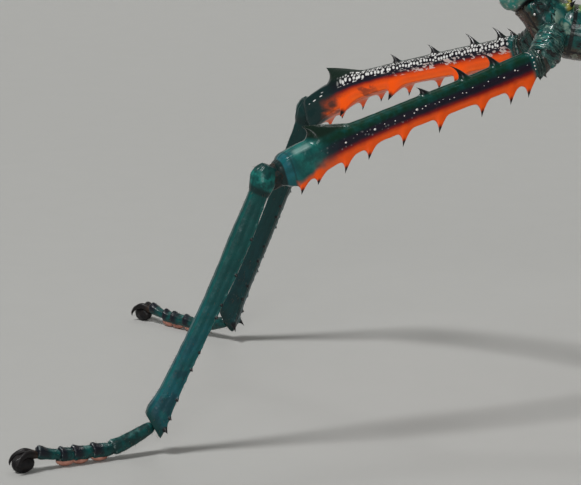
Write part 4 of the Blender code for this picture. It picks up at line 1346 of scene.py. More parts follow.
def made_by(name, source, tree_name, values):
    """Runs a tree on some data and returns the plain mesh that it makes."""
    if tree_name not in bpy.data.node_groups:
        GROWERS[tree_name]()
    tree = bpy.data.node_groups[tree_name]
    holder = bpy.data.objects.new(name + "_source", source)
    bpy.context.scene.collection.objects.link(holder)
    modifier = holder.modifiers.new(tree_name, "NODES")
    modifier.node_group = tree
    for item in tree.interface.items_tree:
        if item.in_out == "INPUT" and item.name in values:
            modifier[item.identifier] = values[item.name]
    graph = bpy.context.evaluated_depsgraph_get()
    graph.update()
    mesh = bpy.data.meshes.new_from_object(holder.evaluated_get(graph))
    mesh.name = name
    bpy.data.objects.remove(holder, do_unlink=True)
    if not len(mesh.polygons):
        raise RuntimeError("%s came out empty" % name)
    return mesh


def tree_piece(name, source, tree_name, values, slot, *nodes):
    mesh = made_by(name, source, tree_name, values)
    return settle(bpy.data.objects.new(name, mesh), slot, *nodes)


def spots_mesh(name, spots):
    """Bare vertices for the spots tree: each is a place, an aim, a way and three half sizes."""
    mesh = bpy.data.meshes.new(name)
    mesh.vertices.add(len(spots))
    mesh.vertices.foreach_set("co", (np.array([s[0] for s in spots]) * MM).ravel())
    fields = (("aim", 1, 1.0), ("flow", 2, 1.0), ("size", 3, MM))
    for mark, column, scale in fields:
        values = (np.array([s[column] for s in spots]) * scale).astype(np.float32).ravel()
        mesh.attributes.new(mark, "FLOAT_VECTOR", "POINT").data.foreach_set("vector", values)
    return mesh


# --- trunk ---


def trunk_skin(name, thorns=()):
    """One ring of the trunk, tucked under the one before it, with a lip at its rear."""
    start, size = TRUNK_STARTS[name], TRUNK_LENGTHS[name]
    centres = sorted({(s - start) / size for s, angle, height in thorns})
    reach = 1.15
    shares = lines(-0.9 / size, 1.0, 0.35 / size, centres, reach / size)
    angles = round_lines(5.0, sorted({angle for s, angle, height in thorns}), 20.0)
    lip = np.array((1.0 + 0.05 / size, 1.0 + 0.04 / size, 1.0 - 0.15 / size))
    shares = np.concatenate((shares, lip))
    s = start + shares * size
    points, ups = trunk_at(s)
    tuck = clamp(-shares * size / 0.9)
    scale = 0.955 + 0.045 * np.cos(math.tau * clamp(shares)) - 0.17 * tuck
    scale += 0.035 * clamp((shares - 1.0) * size / 0.6 + 1.0) ** 2
    scale[-2:] -= (0.05, 0.13)
    widths = through(TRUNK_PROFILE, 1, s) * scale
    heights = through(TRUNK_PROFILE, 2, s) * scale
    skin = section_skin(shares, angles, points, X, ups, widths, heights, 2.2)
    inside = clamp(shares * 12.0) * clamp((1.0 - shares) * 25.0)
    skin.ridge(90.0, 0.10, 5.0, inside)
    skin.ridge((8.0, 172.0), -0.13, 5.0, inside)
    skin.ridge((-28.0, -152.0), -0.10, 4.0, inside)
    skin.roughen(0.05, 1.3, 3, inside[:, None])
    skin.growth[:] = inside[:, None]
    for at, angle, height in thorns:
        lean = vec(0.0, -0.35 * height, 0.0)
        skin.raise_thorn((at - start) / size, angle, height - 0.2, reach, lean)
    return skin


def thorn_places(name):
    """Distance along the trunk, angle round it and height of the thorns of one segment."""
    if name == "mesothorax":
        upper = [(4.0 + 5.4 * k, angle, 2.2) for k in range(4) for angle in (66.0, 114.0)]
        lower = [(6.0 + 6.0 * k, angle, 1.5) for k in range(3) for angle in (12.0, 168.0)]
        return upper + lower
    start = TRUNK_STARTS[name]
    return [(start + at, angle, 1.35) for at in (4.5, 9.0) for angle in (14.0, 166.0)]


def forebody_skin(rear, pitch, table, angles, step, centres, reach):
    """A skin for the head or the prothorax, whose along is in millimetres."""
    forward, up = pitched(pitch)
    rows = np.array(table)
    along = lines(rows[0, 0], rows[-1, 0], step, centres, reach)
    above, widths, heights = (through(table, column, along) for column in (1, 2, 3))
    centre = moved(rear) + np.outer(along, forward) + np.outer(above, up)
    return section_skin(along, angles, centre, X, up, widths, heights)


def prothorax_skin():
    """The collar that carries the head: a saddle with a rim in front and a cross groove."""
    forward = pitched(PROTHORAX_PITCH)[0]
    angles = round_lines(4.0, (62.0, 118.0), 20.0)
    layout = (PROTHORAX_REAR, PROTHORAX_PITCH, PROTHORAX_PROFILE, angles)
    skin = forebody_skin(*layout, 0.2, (1.9, 4.2), 1.1)
    back = clamp(np.sin(np.radians(angles)) + 0.6)
    skin.band(4.55, 0.22, 0.28)
    skin.band(2.9, -0.16, 0.35, back)
    skin.ridge(90.0, -0.09, 4.0)
    skin.ridge((14.0, 166.0), 0.16, 7.0)
    skin.ridge((-4.0, 184.0), -0.14, 6.0)
    skin.roughen(0.12, 0.9, 5)
    skin.growth[:] = 0.2
    for at, height in ((1.9, 1.5), (4.2, 1.7)):
        for angle in (62.0, 118.0):
            skin.raise_thorn(at, angle, height, 1.1, forward * 0.3)
    return skin


def head_skin():
    """The head capsule: brow, feeler sockets, cheeks, crown thorns and a cross groove below."""
    thorns = ((1.4, 62.0, 1.5), (2.5, 50.0, 1.2), (2.9, 75.0, 1.9), (4.4, 66.0, 1.1))
    turns = sorted({a for at, angle, height in thorns for a in (angle, 180.0 - angle)})
    angles = round_lines(3.0, turns, 14.0)
    centres = [at for at, angle, height in thorns]
    skin = forebody_skin(HEAD_REAR, HEAD_PITCH, HEAD_PROFILE, angles, 0.12, centres, 0.95)
    forward = pitched(HEAD_PITCH)[0]
    crown = clamp((skin.along + 0.5) / 1.5) * clamp((4.6 - skin.along) / 1.2)
    skin.ridge(90.0, -0.12, 3.5, crown)
    skin.ridge((38.0, 142.0), 0.16, 6.0, crown)
    skin.ridge((2.0, 178.0), -0.10, 4.0, hill(skin.along, 2.4, 2.0))
    skin.ridge((-20.0, 200.0), 0.12, 7.0, hill(skin.along, 3.0, 2.2))
    for angle in (46.0, 134.0):
        skin.swell(5.55, angle, 0.34, 0.62, 3.0)
        skin.swell(5.75, angle, -0.25, 0.34, 3.0)
    for angle in (EYE_TURN, 180.0 - EYE_TURN):
        skin.swell(EYE_ALONG, angle, 0.22, 1.35, 4.0)
    for angle in (-58.0, -122.0):
        skin.swell(0.8, angle, 0.80, 2.1, 2.2)
    skin.swell(5.0, 90.0, 0.20, 0.9)
    skin.swell(5.9, 90.0, -0.16, 0.5)
    skin.band(6.75, -0.13, 0.14)
    skin.band(0.45, -0.14, 0.22)
    below = clamp(-np.sin(np.radians(angles)) - 0.1)
    skin.band(2.0, -0.16, 0.22, below)
    skin.band(4.3, -0.14, 0.25, below)
    skin.ridge(-90.0, -0.14, 5.0, hill(skin.along, 3.2, 2.2))
    skin.roughen(0.045, 0.8, 9)
    skin.growth[:] = hill(skin.along, 3.5, 3.2)[:, None]
    for at, angle, height in thorns:
        for turn in (angle, 180.0 - angle):
            skin.raise_thorn(at, turn, height - 0.1, 0.95, forward * 0.15 * height)
    return skin


def head_point(along, angle, lift=0.0):
    """A point on the plain head and the direction out of it."""
    forward, up = pitched(HEAD_PITCH)
    above, w, h = (through(HEAD_PROFILE, column, np.array([along]))[0] for column in (1, 2, 3))
    c, s = math.cos(math.radians(angle)), math.sin(math.radians(angle))
    out = unit(X * c * h + up * s * w)
    centre = moved(HEAD_REAR) + forward * along + up * above
    return centre + X * c * w + up * s * h + out * lift, out


def eye_skin(angle):
    centre, out = head_point(EYE_ALONG, angle, 0.08)
    forward = pitched(HEAD_PITCH)[0]
    side = unit(np.cross(forward, out))
    return ball(centre, (1.0, 1.0, 1.08), side, out, forward, 40, 28)


def mouth_shells():
    """Upper lip, jaws, lower lip and jointed palps."""
    forward, up = pitched(HEAD_PITCH)
    root = moved(HEAD_REAR) + forward * 7.4 - up * 1.9
    shells = []
    lip = ball(root + forward * 0.98 + up * 0.42, (1.25, 0.46, 0.95), X, forward, up, 40, 28)
    lip.ridge(90.0, -0.12, 10.0)
    lip.band(0.22, -0.07, 0.05)
    lip.ridge((0.0, 180.0), 0.05, 12.0)
    lip.roughen(0.05, 0.5, 2)
    shells.append(lip.shell().toned(0.0))
    lower = ball(root - forward * 0.35 - up * 0.30, (1.22, 0.85, 0.80), X, forward, up, 36, 24)
    lower.ridge(-90.0, -0.16, 9.0)
    lower.ridge((-50.0, -130.0), 0.07, 9.0)
    lower.roughen(0.05, 0.6, 4)
    shells.append(lower.shell().toned(0.0))
    for side in (-1, 1):
        place = root + X * side * 0.84 + forward * 0.22 + up * 0.05
        jaw = ball(place, (0.56, 0.80, 0.70), X, forward, up, 32, 22)
        jaw.ridge(90.0, 0.10, 16.0)
        jaw.ridge(side * 20.0 + (0.0 if side > 0 else 180.0), -0.08, 14.0)
        jaw.roughen(0.05, 0.35, 6)
        shells.append(jaw.shell().toned(1.0))
        for (across, down, ahead), steps, radius in PALPS:
            start = root + X * side * across - up * down + forward * ahead
            joints = [start + X * side * a - up * b + forward * f for a, b, f in steps]
            shells += palp(joints, radius)
    return shells


def palp(joints, radius):
    """Short clubbed lengths from joint to joint."""
    shells = []
    for k, (a, b) in enumerate(zip(joints, joints[1:])):
        t = np.linspace(0.0, 1.0, 9)
        points = a + np.outer(t * 1.06 - 0.03, b - a)
        club = 0.55 + 0.45 * np.sin(math.pi * clamp(t * 0.86 + 0.1)) ** 0.7
        radii = radius * club * (1 - 0.08 * k)
        radii[[0, -1]] *= 0.7
        shells.append(tube(points, radii, 12, along=np.full(9, k / 4.0)).shell().toned(0.0))
    return shells


def feeler_curve(name, side):
    """The curve of one feeler, up and forward from its socket, sagging at the end."""
    root = head_point(5.7, 90 - side * 44, 0.35)[0]
    lift, spread = math.radians(ANTENNA_LIFT), math.radians(ANTENNA_SPREAD)
    ahead = unit(vec(side * math.sin(spread), -math.cos(spread) * math.cos(lift), math.sin(lift)))
    base, tip = shape().antenna_base / MM, shape().antenna_tip / MM
    curve = bpy.data.curves.new(name, "CURVE")
    curve.dimensions = "3D"
    line = curve.splines.new("POLY")
    line.points.add(139)
    for k, point in enumerate(line.points):
        t = k / (len(line.points) - 1)
        sag = -UP * ANTENNA_SAG * t * t + X * side * 2.0 * t * t
        place = (root + ahead * ANTENNA_LENGTH * t + sag) * MM
        first = 0.36 * hill(t, 0.010, 0.018) + 0.10 * hill(t, 0.034, 0.010)
        point.co = (*place, 1.0)
        point.radius = (base + (tip - base) * t + first) * MM
    return curve


# --- tail and wings ---


def cercus_skin(side):
    root = trunk_at([TRUNK_END + 0.15])[0][0] + vec(side * 0.95, 0.1, -0.1)
    ahead = unit(vec(side * 0.16, 1.0, -0.16))
    t = np.linspace(-0.25, 3.3, 30)
    widest = ((-0.25, 0.0, 0.6, 1.6, 2.6, 3.1, 3.3), (0.3, 0.38, 0.56, 0.6, 0.48, 0.3, 0.1))
    radii = np.interp(t, *widest)
    skin = tube(root + np.outer(t, ahead), radii, 20, 0.8, along=np.clip(t / 3.4, 0.0, 0.9))
    skin.roughen(0.03, 0.5, 6)
    skin.growth[:] = 1.0
    return skin


def plate_skin():
    """The cup under the ninth segment."""
    start, size = TRUNK_STARTS["abdomen_9"], TRUNK_LENGTHS["abdomen_9"]
    table = (
        (-0.35, 0.9, 0.3),
        (-0.1, 1.45, 0.62),
        (0.25, 1.68, 0.85),
        (0.6, 1.7, 0.9),
        (0.9, 1.3, 0.7),
        (1.05, 0.7, 0.35),
    )
    shares = np.linspace(-0.35, 1.05, 40)
    s = start + shares * size
    points, ups = trunk_at(s)
    half = through(TRUNK_PROFILE, 2, s)
    centres = points - ups * (half + 0.45)[:, None]
    angles = round_lines(9.0)
    widths, heights = through(table, 1, shares), through(table, 2, shares)
    along = np.clip((shares + 0.35) / 1.5, 0.0, 0.94)
    skin = section_skin(along, angles, centres, X, ups, widths, heights)
    skin.ridge(-90.0, 0.10, 8.0)
    skin.roughen(0.04, 0.8, 8)
    skin.growth[:] = 0.5
    return skin


def wing_skin(start, size, near, far, lift, veins, tone):
    """A short wing: a thin curved leaf on the back, from one angle round to another."""
    rows, columns = 90, 44
    t = np.linspace(0.0, 1.0, rows)
    t = 0.5 - 0.5 * np.cos(math.pi * t)
    v = np.linspace(0.0, 1.0, columns)
    s = start + size * t
    points, ups = trunk_at(s)
    widths, heights = through(TRUNK_PROFILE, 1, s) * 1.02, through(TRUNK_PROFILE, 2, s) * 1.02
    spread = np.sin(math.pi * (0.10 + 0.80 * t)) ** 0.6
    spread *= clamp(np.minimum(t, 1 - t) * 9.0 + 0.25) ** 0.5
    middle = (near + far) / 2
    angle = np.radians(middle + (near + (far - near) * v[None, :] - middle) * spread[:, None])
    ribs = np.abs(np.sin(math.pi * veins * v))[None, :] ** 6 * np.ones((rows, 1))
    crossed = np.abs(np.sin(math.pi * 9.0 * t[:, None] + 2.5 * v[None, :])) ** 14
    edge = clamp(np.minimum(v, 1 - v) * 9.0)[None, :] * np.ones((rows, 1))
    hump = hill(t, 0.30, 0.20)[:, None] * hill(v, 0.35, 0.28)[None, :]

    def layer(height):
        raised = lift + 0.5 * t[:, None] + height
        across = (np.cos(angle) * (widths[:, None] + raised))[..., None] * X
        above = (np.sin(angle) * (heights[:, None] + raised))[..., None] * ups[:, None, :]
        return points[:, None, :] + across + above

    bulge = 0.5 * hump * (1.0 - tone)
    top = layer(0.05 + 0.2 * edge + 0.07 * ribs + 0.03 * crossed + bulge)
    under = layer(-0.05 - 0.2 * edge - 0.05 * ribs + bulge * 0.6)[:, ::-1]
    base = np.concatenate((top, under), axis=1)
    angles = np.concatenate((v * 170.0, 190.0 + v * 160.0)) - 180.0
    skin = Skin(t, angles, base, points)
    skin.tone[:] = tone
    skin.growth = np.concatenate((np.maximum(ribs, 0.6 * crossed), ribs), axis=1)
    skin.thorn = np.concatenate((hump, hump * 0), axis=1)
    return skin


# --- legs ---


def hip_skins(name):
    """The coxa, a wrinkled drum, and the trochanter, a short ring before the thigh."""
    leg, pair = LEGS[name], pair_of(name)
    hip, knee = leg_points(name)[:2]
    root = moved((pair["root"][0] * leg["side"], pair["root"][1], pair["root"][2]))
    thigh = unit(knee - hip)
    r = COXA_RADIUS * pair["thick"]
    end = hip - thigh * 1.2
    ahead = unit(end - root)
    up, out = axes(ahead, leg["side"])
    size = np.linalg.norm(end - root)
    t = lines(-0.05, 1.17, 0.12 / size)
    centres = root + np.outer(t, end - root)
    angles = round_lines(4.0)
    radii = through(COXA_PROFILE, 1, t) * r
    coxa = section_skin(t, angles, centres, out, up, radii, radii)
    coxa.band(0.93, -0.20, 0.035)
    coxa.band(0.80, 0.10, 0.05)
    coxa.ridge(60.0, 0.12, 12.0)
    coxa.ridge(-40.0, 0.10, 12.0)
    coxa.push += coxa.out * (0.04 * np.sin(t * 23.0))[:, None, None]
    coxa.roughen(0.09, 2.0, 11)
    coxa.roughen(0.05, 0.7, 12)
    coxa.growth[:] = 0.06
    up, out = axes(thigh, leg["side"])
    d = lines(-2.1, 0.35, 0.08)
    radii = through(TROCHANTER_PROFILE, 1, d) * r
    centres = hip + np.outer(d, thigh)
    angles = round_lines(4.0, (-70.0,), 24.0)
    ring = section_skin(d, angles, centres, out, up, radii * 0.85, radii, 2.3)
    ring.band(-0.32, 0.08, 0.10)
    ring.band(-0.62, -0.12, 0.12)
    ring.roughen(0.06, 0.5, 13)
    ring.growth[:] = hill(d, -0.3, 0.16)[:, None]
    for at in (-0.15, -0.75):
        ring.raise_thorn(at, -70.0, 0.42, 0.42, -thigh * 0.1)
    ring.tone[:] = clamp(-(d + 0.62) * 6.0)[:, None]
    return coxa, ring


def thigh_skin(name):
    """The femur: four edges, flared thorns below, dark thorns and a fin-like one above."""
    hip, knee = leg_points(name)[:2]
    front = name.startswith("front")
    size = pair_of(name)["femur"]
    shift = INNER_SHIFT.get(name, 0.03)
    outer = BELOW_THORNS if front else BELOW_THORNS[2::2]
    inner = [(min(at + shift, 0.96), height) for at, height in BELOW_THORNS[2::2]]
    back = BACK_THORNS.get(name, PLAIN_BACK_THORNS)
    centres = sorted({at for at, height in list(outer) + inner + list(back)} | {KNEE_THORN})
    shares = lines(-0.012, 1.022, 0.3 / size, centres, 1.3 / size)
    angles = round_lines(5.0, (-45.0, -135.0, 90.0), 26.0)
    shape_of = (FEMUR_ARCH, FEMUR_BOW, 1.4, 3.0)
    skin = limb(name, hip, knee, FEMUR_PROFILE, shares, angles, *shape_of, 0.0, LEGS[name]["sink"])
    ahead = unit(knee - hip)
    side = LEGS[name]["side"]
    up, out = axes(ahead, side)
    body = clamp(shares / 0.03) * clamp((1.022 - shares) / 0.04)
    skin.ridge((-45.0, -135.0), 0.13, 7.0, body)
    skin.ridge((45.0, 135.0), 0.10, 6.0, body)
    skin.ridge(90.0, 0.07, 5.0, body)
    skin.ridge((0.0, 180.0), -0.06, 16.0, body)
    for angle in (45.0, 135.0, -45.0, -135.0):
        beads = 0.05 * clamp(lumps(shares[:, None] * vec(size, 0, 0) + angle, 0.8, 21))
        skin.ridge(angle, 1.0, 6.0, beads * body)
    skin.roughen(0.035, 0.9, 14, body[:, None])
    skin.band(1.004, -0.10, 0.004)
    skin.band(0.984, 0.06, 0.009)
    skin.growth[:] = (0.25 * body)[:, None]
    for row, angle, across, wide in ((outer, -45.0, 0.25, 1.45), (inner, -135.0, -0.45, 2.1)):
        for at, height in row:
            grown = height * (1.0 if front else 0.75)
            grown *= 1.0 if across > 0 else INNER_HEIGHT.get(name, 0.9)
            aim = out * across - up + ahead * (0.42 + 0.2 * at)
            skin.raise_thorn(at, angle, grown, wide, ahead * 0.12 * grown, 3.1, 1.6, aim)
    for at, height in back:
        skin.raise_thorn(at, 90.0, height, 0.95, ahead * height * 0.55, 2.6, 2.2, up + ahead * 0.15)
    skin.raise_thorn(KNEE_THORN, 90.0, 1.75, 1.7, ahead * 1.6, 1.25, 2.0, up, 2.4)
    return skin


def shin_skin(name):
    """The tibia: four saw-edged ridges, a rounded head at the knee and spurs at its end."""
    top, ankle = leg_points(name)[2:4]
    size = LEGS[name]["shin"]
    places = sorted([0.955] + [at + 0.03 * way for at in SHIN_THORNS for way in (1, -1)])
    shares = lines(-0.045, 0.988, 0.25 / size, places, 0.9 / size)
    angles = round_lines(5.0, (-45.0, -135.0), 26.0)
    shape_of = (TIBIA_ARCH, 0.0, 0.8, 2.7, TIBIA_SLANT, 0.0)
    skin = limb(name, top, ankle, TIBIA_PROFILE, shares, angles, *shape_of)
    ahead = unit(ankle - top)
    up = axes(ahead, LEGS[name]["side"])[0]
    body = clamp((shares - 0.07) / 0.03) * clamp((0.985 - shares) / 0.03)
    saw = np.abs(np.sin(shares * size * math.pi / 2.1)) ** 10
    for k, angle in enumerate((-45.0, -135.0)):
        skin.ridge(angle, 0.10, 7.0, body)
        skin.ridge(angle, 0.10, 6.0, body * np.roll(saw, 5 * k))
    skin.ridge((45.0, 135.0), 0.09, 6.0, body)
    skin.ridge((90.0, 0.0, 180.0, -90.0), -0.05, 14.0, body)
    for angle in (0.0, 180.0):
        skin.swell(0.022, angle, 0.16, 0.7, 2.0)
    head = hill(shares, 0.0, 0.05)
    skin.ridge(90.0, 0.16, 12.0, head)
    skin.ridge((45.0, 135.0), -0.14, 9.0, head)
    skin.roughen(0.03, 0.8, 15)
    skin.roughen(0.07, 0.6, 18, head[:, None])
    skin.band(0.065, -0.08, 0.012)
    skin.growth[:] = (0.25 + 0.75 * hill(shares, 1.0, 0.35))[:, None]
    for way, angle in ((1, -45.0), (-1, -135.0)):
        spur = 0.45 if (name, way) == ("front_left", 1) else 0.95
        skin.raise_thorn(0.955, angle, spur, 0.75, ahead * 0.8 * spur - up * 0.3 * spur, 2.2)
        for k, at in enumerate(SHIN_THORNS):
            skin.raise_thorn(at + 0.03 * way, angle, 0.18 + 0.14 * (k % 2), 0.45, ahead * 0.15, 2.2)
    return skin


def knee_skin(name):
    """The soft hinge under and round the end of the thigh."""
    hip, knee, top, ankle = leg_points(name)[:4]
    thigh, shin = unit(knee - hip), unit(ankle - top)
    thick = pair_of(name)["thick"]
    t = np.linspace(0.0, 1.0, 26)
    sunk = UP * (0.05 + LEGS[name]["sink"])
    start, end = knee - thigh * 1.3 - sunk, top + shin * 0.6
    middle = knee + thigh * 1.25 - sunk
    points = np.outer((1 - t) ** 2, start) + np.outer(2 * t * (1 - t), middle)
    points += np.outer(t * t, end)
    radii = (1.30 - 0.20 * t) * thick * clamp(np.minimum(t, 1 - t) * 6 + 0.6)
    skin = tube(points, radii, 40, 1.15)
    skin.roughen(0.12, 0.6, 16)
    turns = np.radians(skin.angles)
    low = clamp(-np.sin(turns) * 2.0) * clamp(np.cos(turns) * 3.0)
    skin.tone = hill(t, 0.62, 0.10)[:, None] * low[None, :]
    skin.thorn = 1.0 - skin.tone
    return skin


def foot_shells(name):
    """Five tarsomeres, each with a flap over the next, and the pads under the middle three."""
    side = LEGS[name]["side"]
    joints = leg_points(name)[-1]
    shells = []
    for k, half in enumerate(TARSUS_HALF):
        a, b = joints[k], joints[k + 1]
        ahead = unit(b - a)
        up, out = axes(ahead, side)
        size = np.linalg.norm(b - a)
        first, last = (-0.5 if k == 0 else -0.15), size + (0.12 if k < 4 else -0.1)
        t = np.linspace(0.0, 1.0, 46)
        radii = through(TARSUS_PROFILE if k < 4 else LAST_TARSUS_PROFILE, 1, t) * half
        centres = a + np.outer(first + t * (last - first), ahead)
        centres += np.outer(-0.10 * np.sin(math.pi * t), up)
        angles = round_lines(8.0)
        skin = section_skin(t, angles, centres, out, up, radii, radii, 2.2)
        skin.ridge(90.0, 0.06, 14.0, clamp(t * 4))
        skin.ridge((35.0, 145.0), 0.05, 9.0, clamp(t * 3 - 0.5))
        flap = clamp((t - 0.72) / 0.22) ** 1.5 * (1.0 if k < 4 else 0.3)
        skin.ridge(90.0, 0.16, 38.0, flap)
        skin.roughen(0.03, 0.5, 17 + k)
        skin.growth[:] = 1.0
        skin.tone[:] = 0.2 if k == 0 else 0.0
        shells.append(skin.shell())
        if k not in (1, 2, 3):
            continue
        middle = a + (b - a) * 0.66
        reach = middle[2] - 0.02
        centre = middle - UP * (reach * 0.5 + 0.02)
        pad = ball(centre, (0.60, 1.08, reach * 0.5), out, ahead, UP, 28, 20)
        pad.ridge(-90.0, -0.03, 20.0)
        pad.roughen(0.03, 0.35, 23 + k)
        pad.push[..., 2] = np.maximum(pad.push[..., 2], FLOOR_GAP - pad.base[..., 2])
        shells.append(pad.shell().toned(1.0))
    return shells


def claw_shells(name):
    """Two hooked claws and the pad between them, which rests on the floor."""
    side = LEGS[name]["side"]
    root = leg_points(name)[-1][-1]
    level = direction(side, LEGS[name]["foot"], 0.0)
    out = axes(level, side)[1]
    centre = vec(root[0], root[1], 0.0) + level * 1.5 + UP * 0.94
    pad = ball(centre, (0.84, 1.30, 1.08), out, level, UP, 36, 26)
    pad.ridge(-90.0, -0.10, 16.0)
    pad.ridge(90.0, -0.14, 18.0)
    pad.roughen(0.07, 0.5, 31)
    pad.push[..., 2] = np.maximum(pad.push[..., 2], FLOOR_GAP - pad.base[..., 2])
    shells = [pad.shell().toned(1.0)]
    for across in (1, -1):
        rows = np.array(CLAW_LINE)
        at = np.arange(len(rows), dtype=float)
        t = np.linspace(0.0, at[-1], 44)
        fitted = [through(np.stack((at, rows[:, column]), -1), 1, t) for column in range(3)]
        points = root + np.outer(fitted[0] * CLAW_LENGTH, level) + np.outer(fitted[1], UP)
        points += np.outer(0.2 + 0.9 * fitted[0], out) * across
        points[:, 2] = np.maximum(points[:, 2], 0.03 + fitted[2])
        shells.append(tube(points, fitted[2], 18, 1.15, along=t / at[-1]).shell().toned(0.0))
    return shells


def thigh_spots(name, skin):
    """The row of pale spots along the outer band, and the rim of granules at the hip."""
    chance = np.random.default_rng(SEED + sum(map(ord, name)))
    places = []  # along, angle, half length, half width
    at = 0.045
    while at < 0.80:
        angle = chance.uniform(8.0, 22.0)
        long_half = chance.choice((0.05, 0.07, 0.10, 0.15))
        places.append((at, angle, long_half, long_half * chance.uniform(0.55, 0.9)))
        at += chance.uniform(0.014, 0.045)
    places += [(0.012, -10.0 + 16.0 * k, 0.10, 0.10) for k in range(9)]
    chance = np.random.default_rng(SEED)
    spots = []
    for along, angle, *halves in places:
        spot = skin.nearest(along, angle)
        size = vec(*halves, 0.07) * chance.uniform(0.75, 1.2)
        spots.append(((skin.base + skin.push)[spot], skin.out[spot], skin.flow[spot], size))
    return spots


# --- operators ---


def checked(name, skin):
    """Stops if a piece has strayed from the frame's node that it stands for."""
    low, high = (np.array(tuple(corner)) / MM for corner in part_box(name))
    points = (skin.base + skin.push).reshape(-1, 3)
    stray = max((low - points.min(axis=0)).max(), (points.max(axis=0) - high).max())
    if stray > LARGEST_STRAY:
        raise RuntimeError("%s stands %.2f mm outside its solid" % (name, stray))
    return skin


class MakeTrunk(bpy.types.Operator):
    """Make the thorax and the ringed abdomen"""

    bl_idname = "insect.trunk"
    bl_label = "Trunk"
    bl_options = {"REGISTER", "UNDO"}

    def execute(self, context):
        for name in ("mesothorax", "metathorax"):
            skin = checked(name, trunk_skin(name, thorn_places(name)))
            piece(name + "_shell", [skin.shell()], thorax_shell(), "thorax_shell", name)
        rings = [name for name in TRUNK_LENGTHS if name.startswith("abdomen")]
        shells = [checked(name, trunk_skin(name)).shell() for name in rings]
        piece("abdomen_shells", shells, abdomen_shell(), "abdomen_shell", *rings)
        return {"FINISHED"}


class MakeTail(bpy.types.Operator):
    """Make the two cerci and the plate below the tail"""

    bl_idname = "insect.tail"
    bl_label = "Tail"
    bl_options = {"REGISTER", "UNDO"}

    def execute(self, context):
        for name, side in (("cercus_left", 1), ("cercus_right", -1)):
            shell = cercus_skin(side).shell().toned(1.0)
            piece(name + "_shell", [shell], abdomen_shell(), "abdomen_shell", name)
        plate = plate_skin().shell()
        piece("tail_plate", [plate], abdomen_shell(), "abdomen_shell", "subgenital_plate")
        return {"FINISHED"}


class MakeWings(bpy.types.Operator):
    """Make the two wing cases and the folded wings"""

    bl_idname = "insect.wings"
    bl_label = "Wings"
    bl_options = {"REGISTER", "UNDO"}

    def execute(self, context):
        for word, mirror in (("left", False), ("right", True)):
            turn = (lambda a: 180.0 - a) if mirror else (lambda a: a)
            case = wing_skin(22.8, 9.5, turn(40.0), turn(84.0), 1.75, 6.0, 0.0)
            piece("wing_case_" + word, [case.shell()], wing_leather(), "wing", "tegmen_" + word)
            fan = wing_skin(29.6, 21.0, turn(32.0), turn(86.0), 0.75, 9.0, 1.0)
            piece("wing_fan_" + word, [fan.shell()], wing_leather(), "wing", "hindwing_" + word)
        return {"FINISHED"}


class MakeForebody(bpy.types.Operator):
    """Make the collar, the head and the soft neck"""

    bl_idname = "insect.forebody"
    bl_label = "Collar and head"
    bl_options = {"REGISTER", "UNDO"}

    def execute(self, context):
        collar = checked("prothorax", prothorax_skin())
        piece("collar_shell", [collar.shell()], thorax_shell(), "thorax_shell", "prothorax")
        head = checked("head", head_skin())
        piece("head_capsule", [head.shell()], head_shell(), "head_shell", "head")
        forward, up = pitched(PROTHORAX_PITCH)
        start = moved(PROTHORAX_REAR) + forward * 3.2
        end = moved(HEAD_REAR) + pitched(HEAD_PITCH)[0] * 1.4
        t = np.linspace(0.0, 1.0, 30)
        neck = tube(start + np.outer(t, end - start), 2.2 - 0.25 * t, 60, rise=up)
        neck.roughen(0.14, 0.6, 33)
        rear = tube(trunk_at(np.linspace(2.0, -1.4, 24))[0], np.linspace(2.75, 2.35, 24), 60)
        rear.roughen(0.16, 0.7, 34)
        piece("neck_skin", [neck.shell(), rear.shell()], soft_skin(), "head_shell")
        return {"FINISHED"}


class MakeFace(bpy.types.Operator):
    """Make the eyes and mouthparts"""

    bl_idname = "insect.face"
    bl_label = "Eyes and mouth"
    bl_options = {"REGISTER", "UNDO"}

    def execute(self, context):
        for name, angle in (("eye_left", EYE_TURN), ("eye_right", 180.0 - EYE_TURN)):
            piece(name + "_dome", [eye_skin(angle).shell()], eye_glass(), "eye", name)
        piece("lips_and_palps", mouth_shells(), mouth_horn(), "mouthparts", "mouthparts")
        return {"FINISHED"}


class MakeFeelers(bpy.types.Operator):
    """Make the two ringed feelers"""

    bl_idname = "insect.feelers"
    bl_label = "Feelers"
    bl_options = {"REGISTER", "UNDO"}

    def execute(self, context):
        for name, side in (("antenna_left", 1), ("antenna_right", -1)):
            values = dict(Rings=shape().antenna_rings, Waist=0.16, Flare=0.14)
            values["Material"] = feeler_shell()
            curve = feeler_curve(name + "_line", side)
            tree_piece("feeler_" + name[8:], curve, "feeler", values, "antenna", name)
        return {"FINISHED"}


class MakeLegs(bpy.types.Operator):
    """Make the hips, thighs, knees and shins, and the pale spots on the thighs"""

    bl_idname = "insect.legs"
    bl_label = "Legs"
    bl_options = {"REGISTER", "UNDO"}

    def execute(self, context):
        spots = []
        for name in LEGS:
            coxa, ring = hip_skins(name)
            hip = [coxa.shell(), ring.shell()]
            piece("hip_" + name, hip, hip_shell(), "leg_shell", "coxa_" + name)
            thigh = checked("femur_" + name, thigh_skin(name))
            piece("thigh_" + name, [thigh.shell()], thigh_shell(), "femur_shell", "femur_" + name)
            shin = checked("tibia_" + name, shin_skin(name))
            piece("shin_" + name, [shin.shell()], shin_shell(), "leg_shell", "tibia_" + name)
            piece("knee_skin_" + name, [knee_skin(name).shell()], soft_skin(), "leg_shell")
            spots += thigh_spots(name, thigh)
        values = {"Flatness": 1.0, "Material": granule_horn()}
        tree_piece("thigh_spots", spots_mesh("thigh_spots", spots), "spots", values, "femur_shell")
        return {"FINISHED"}


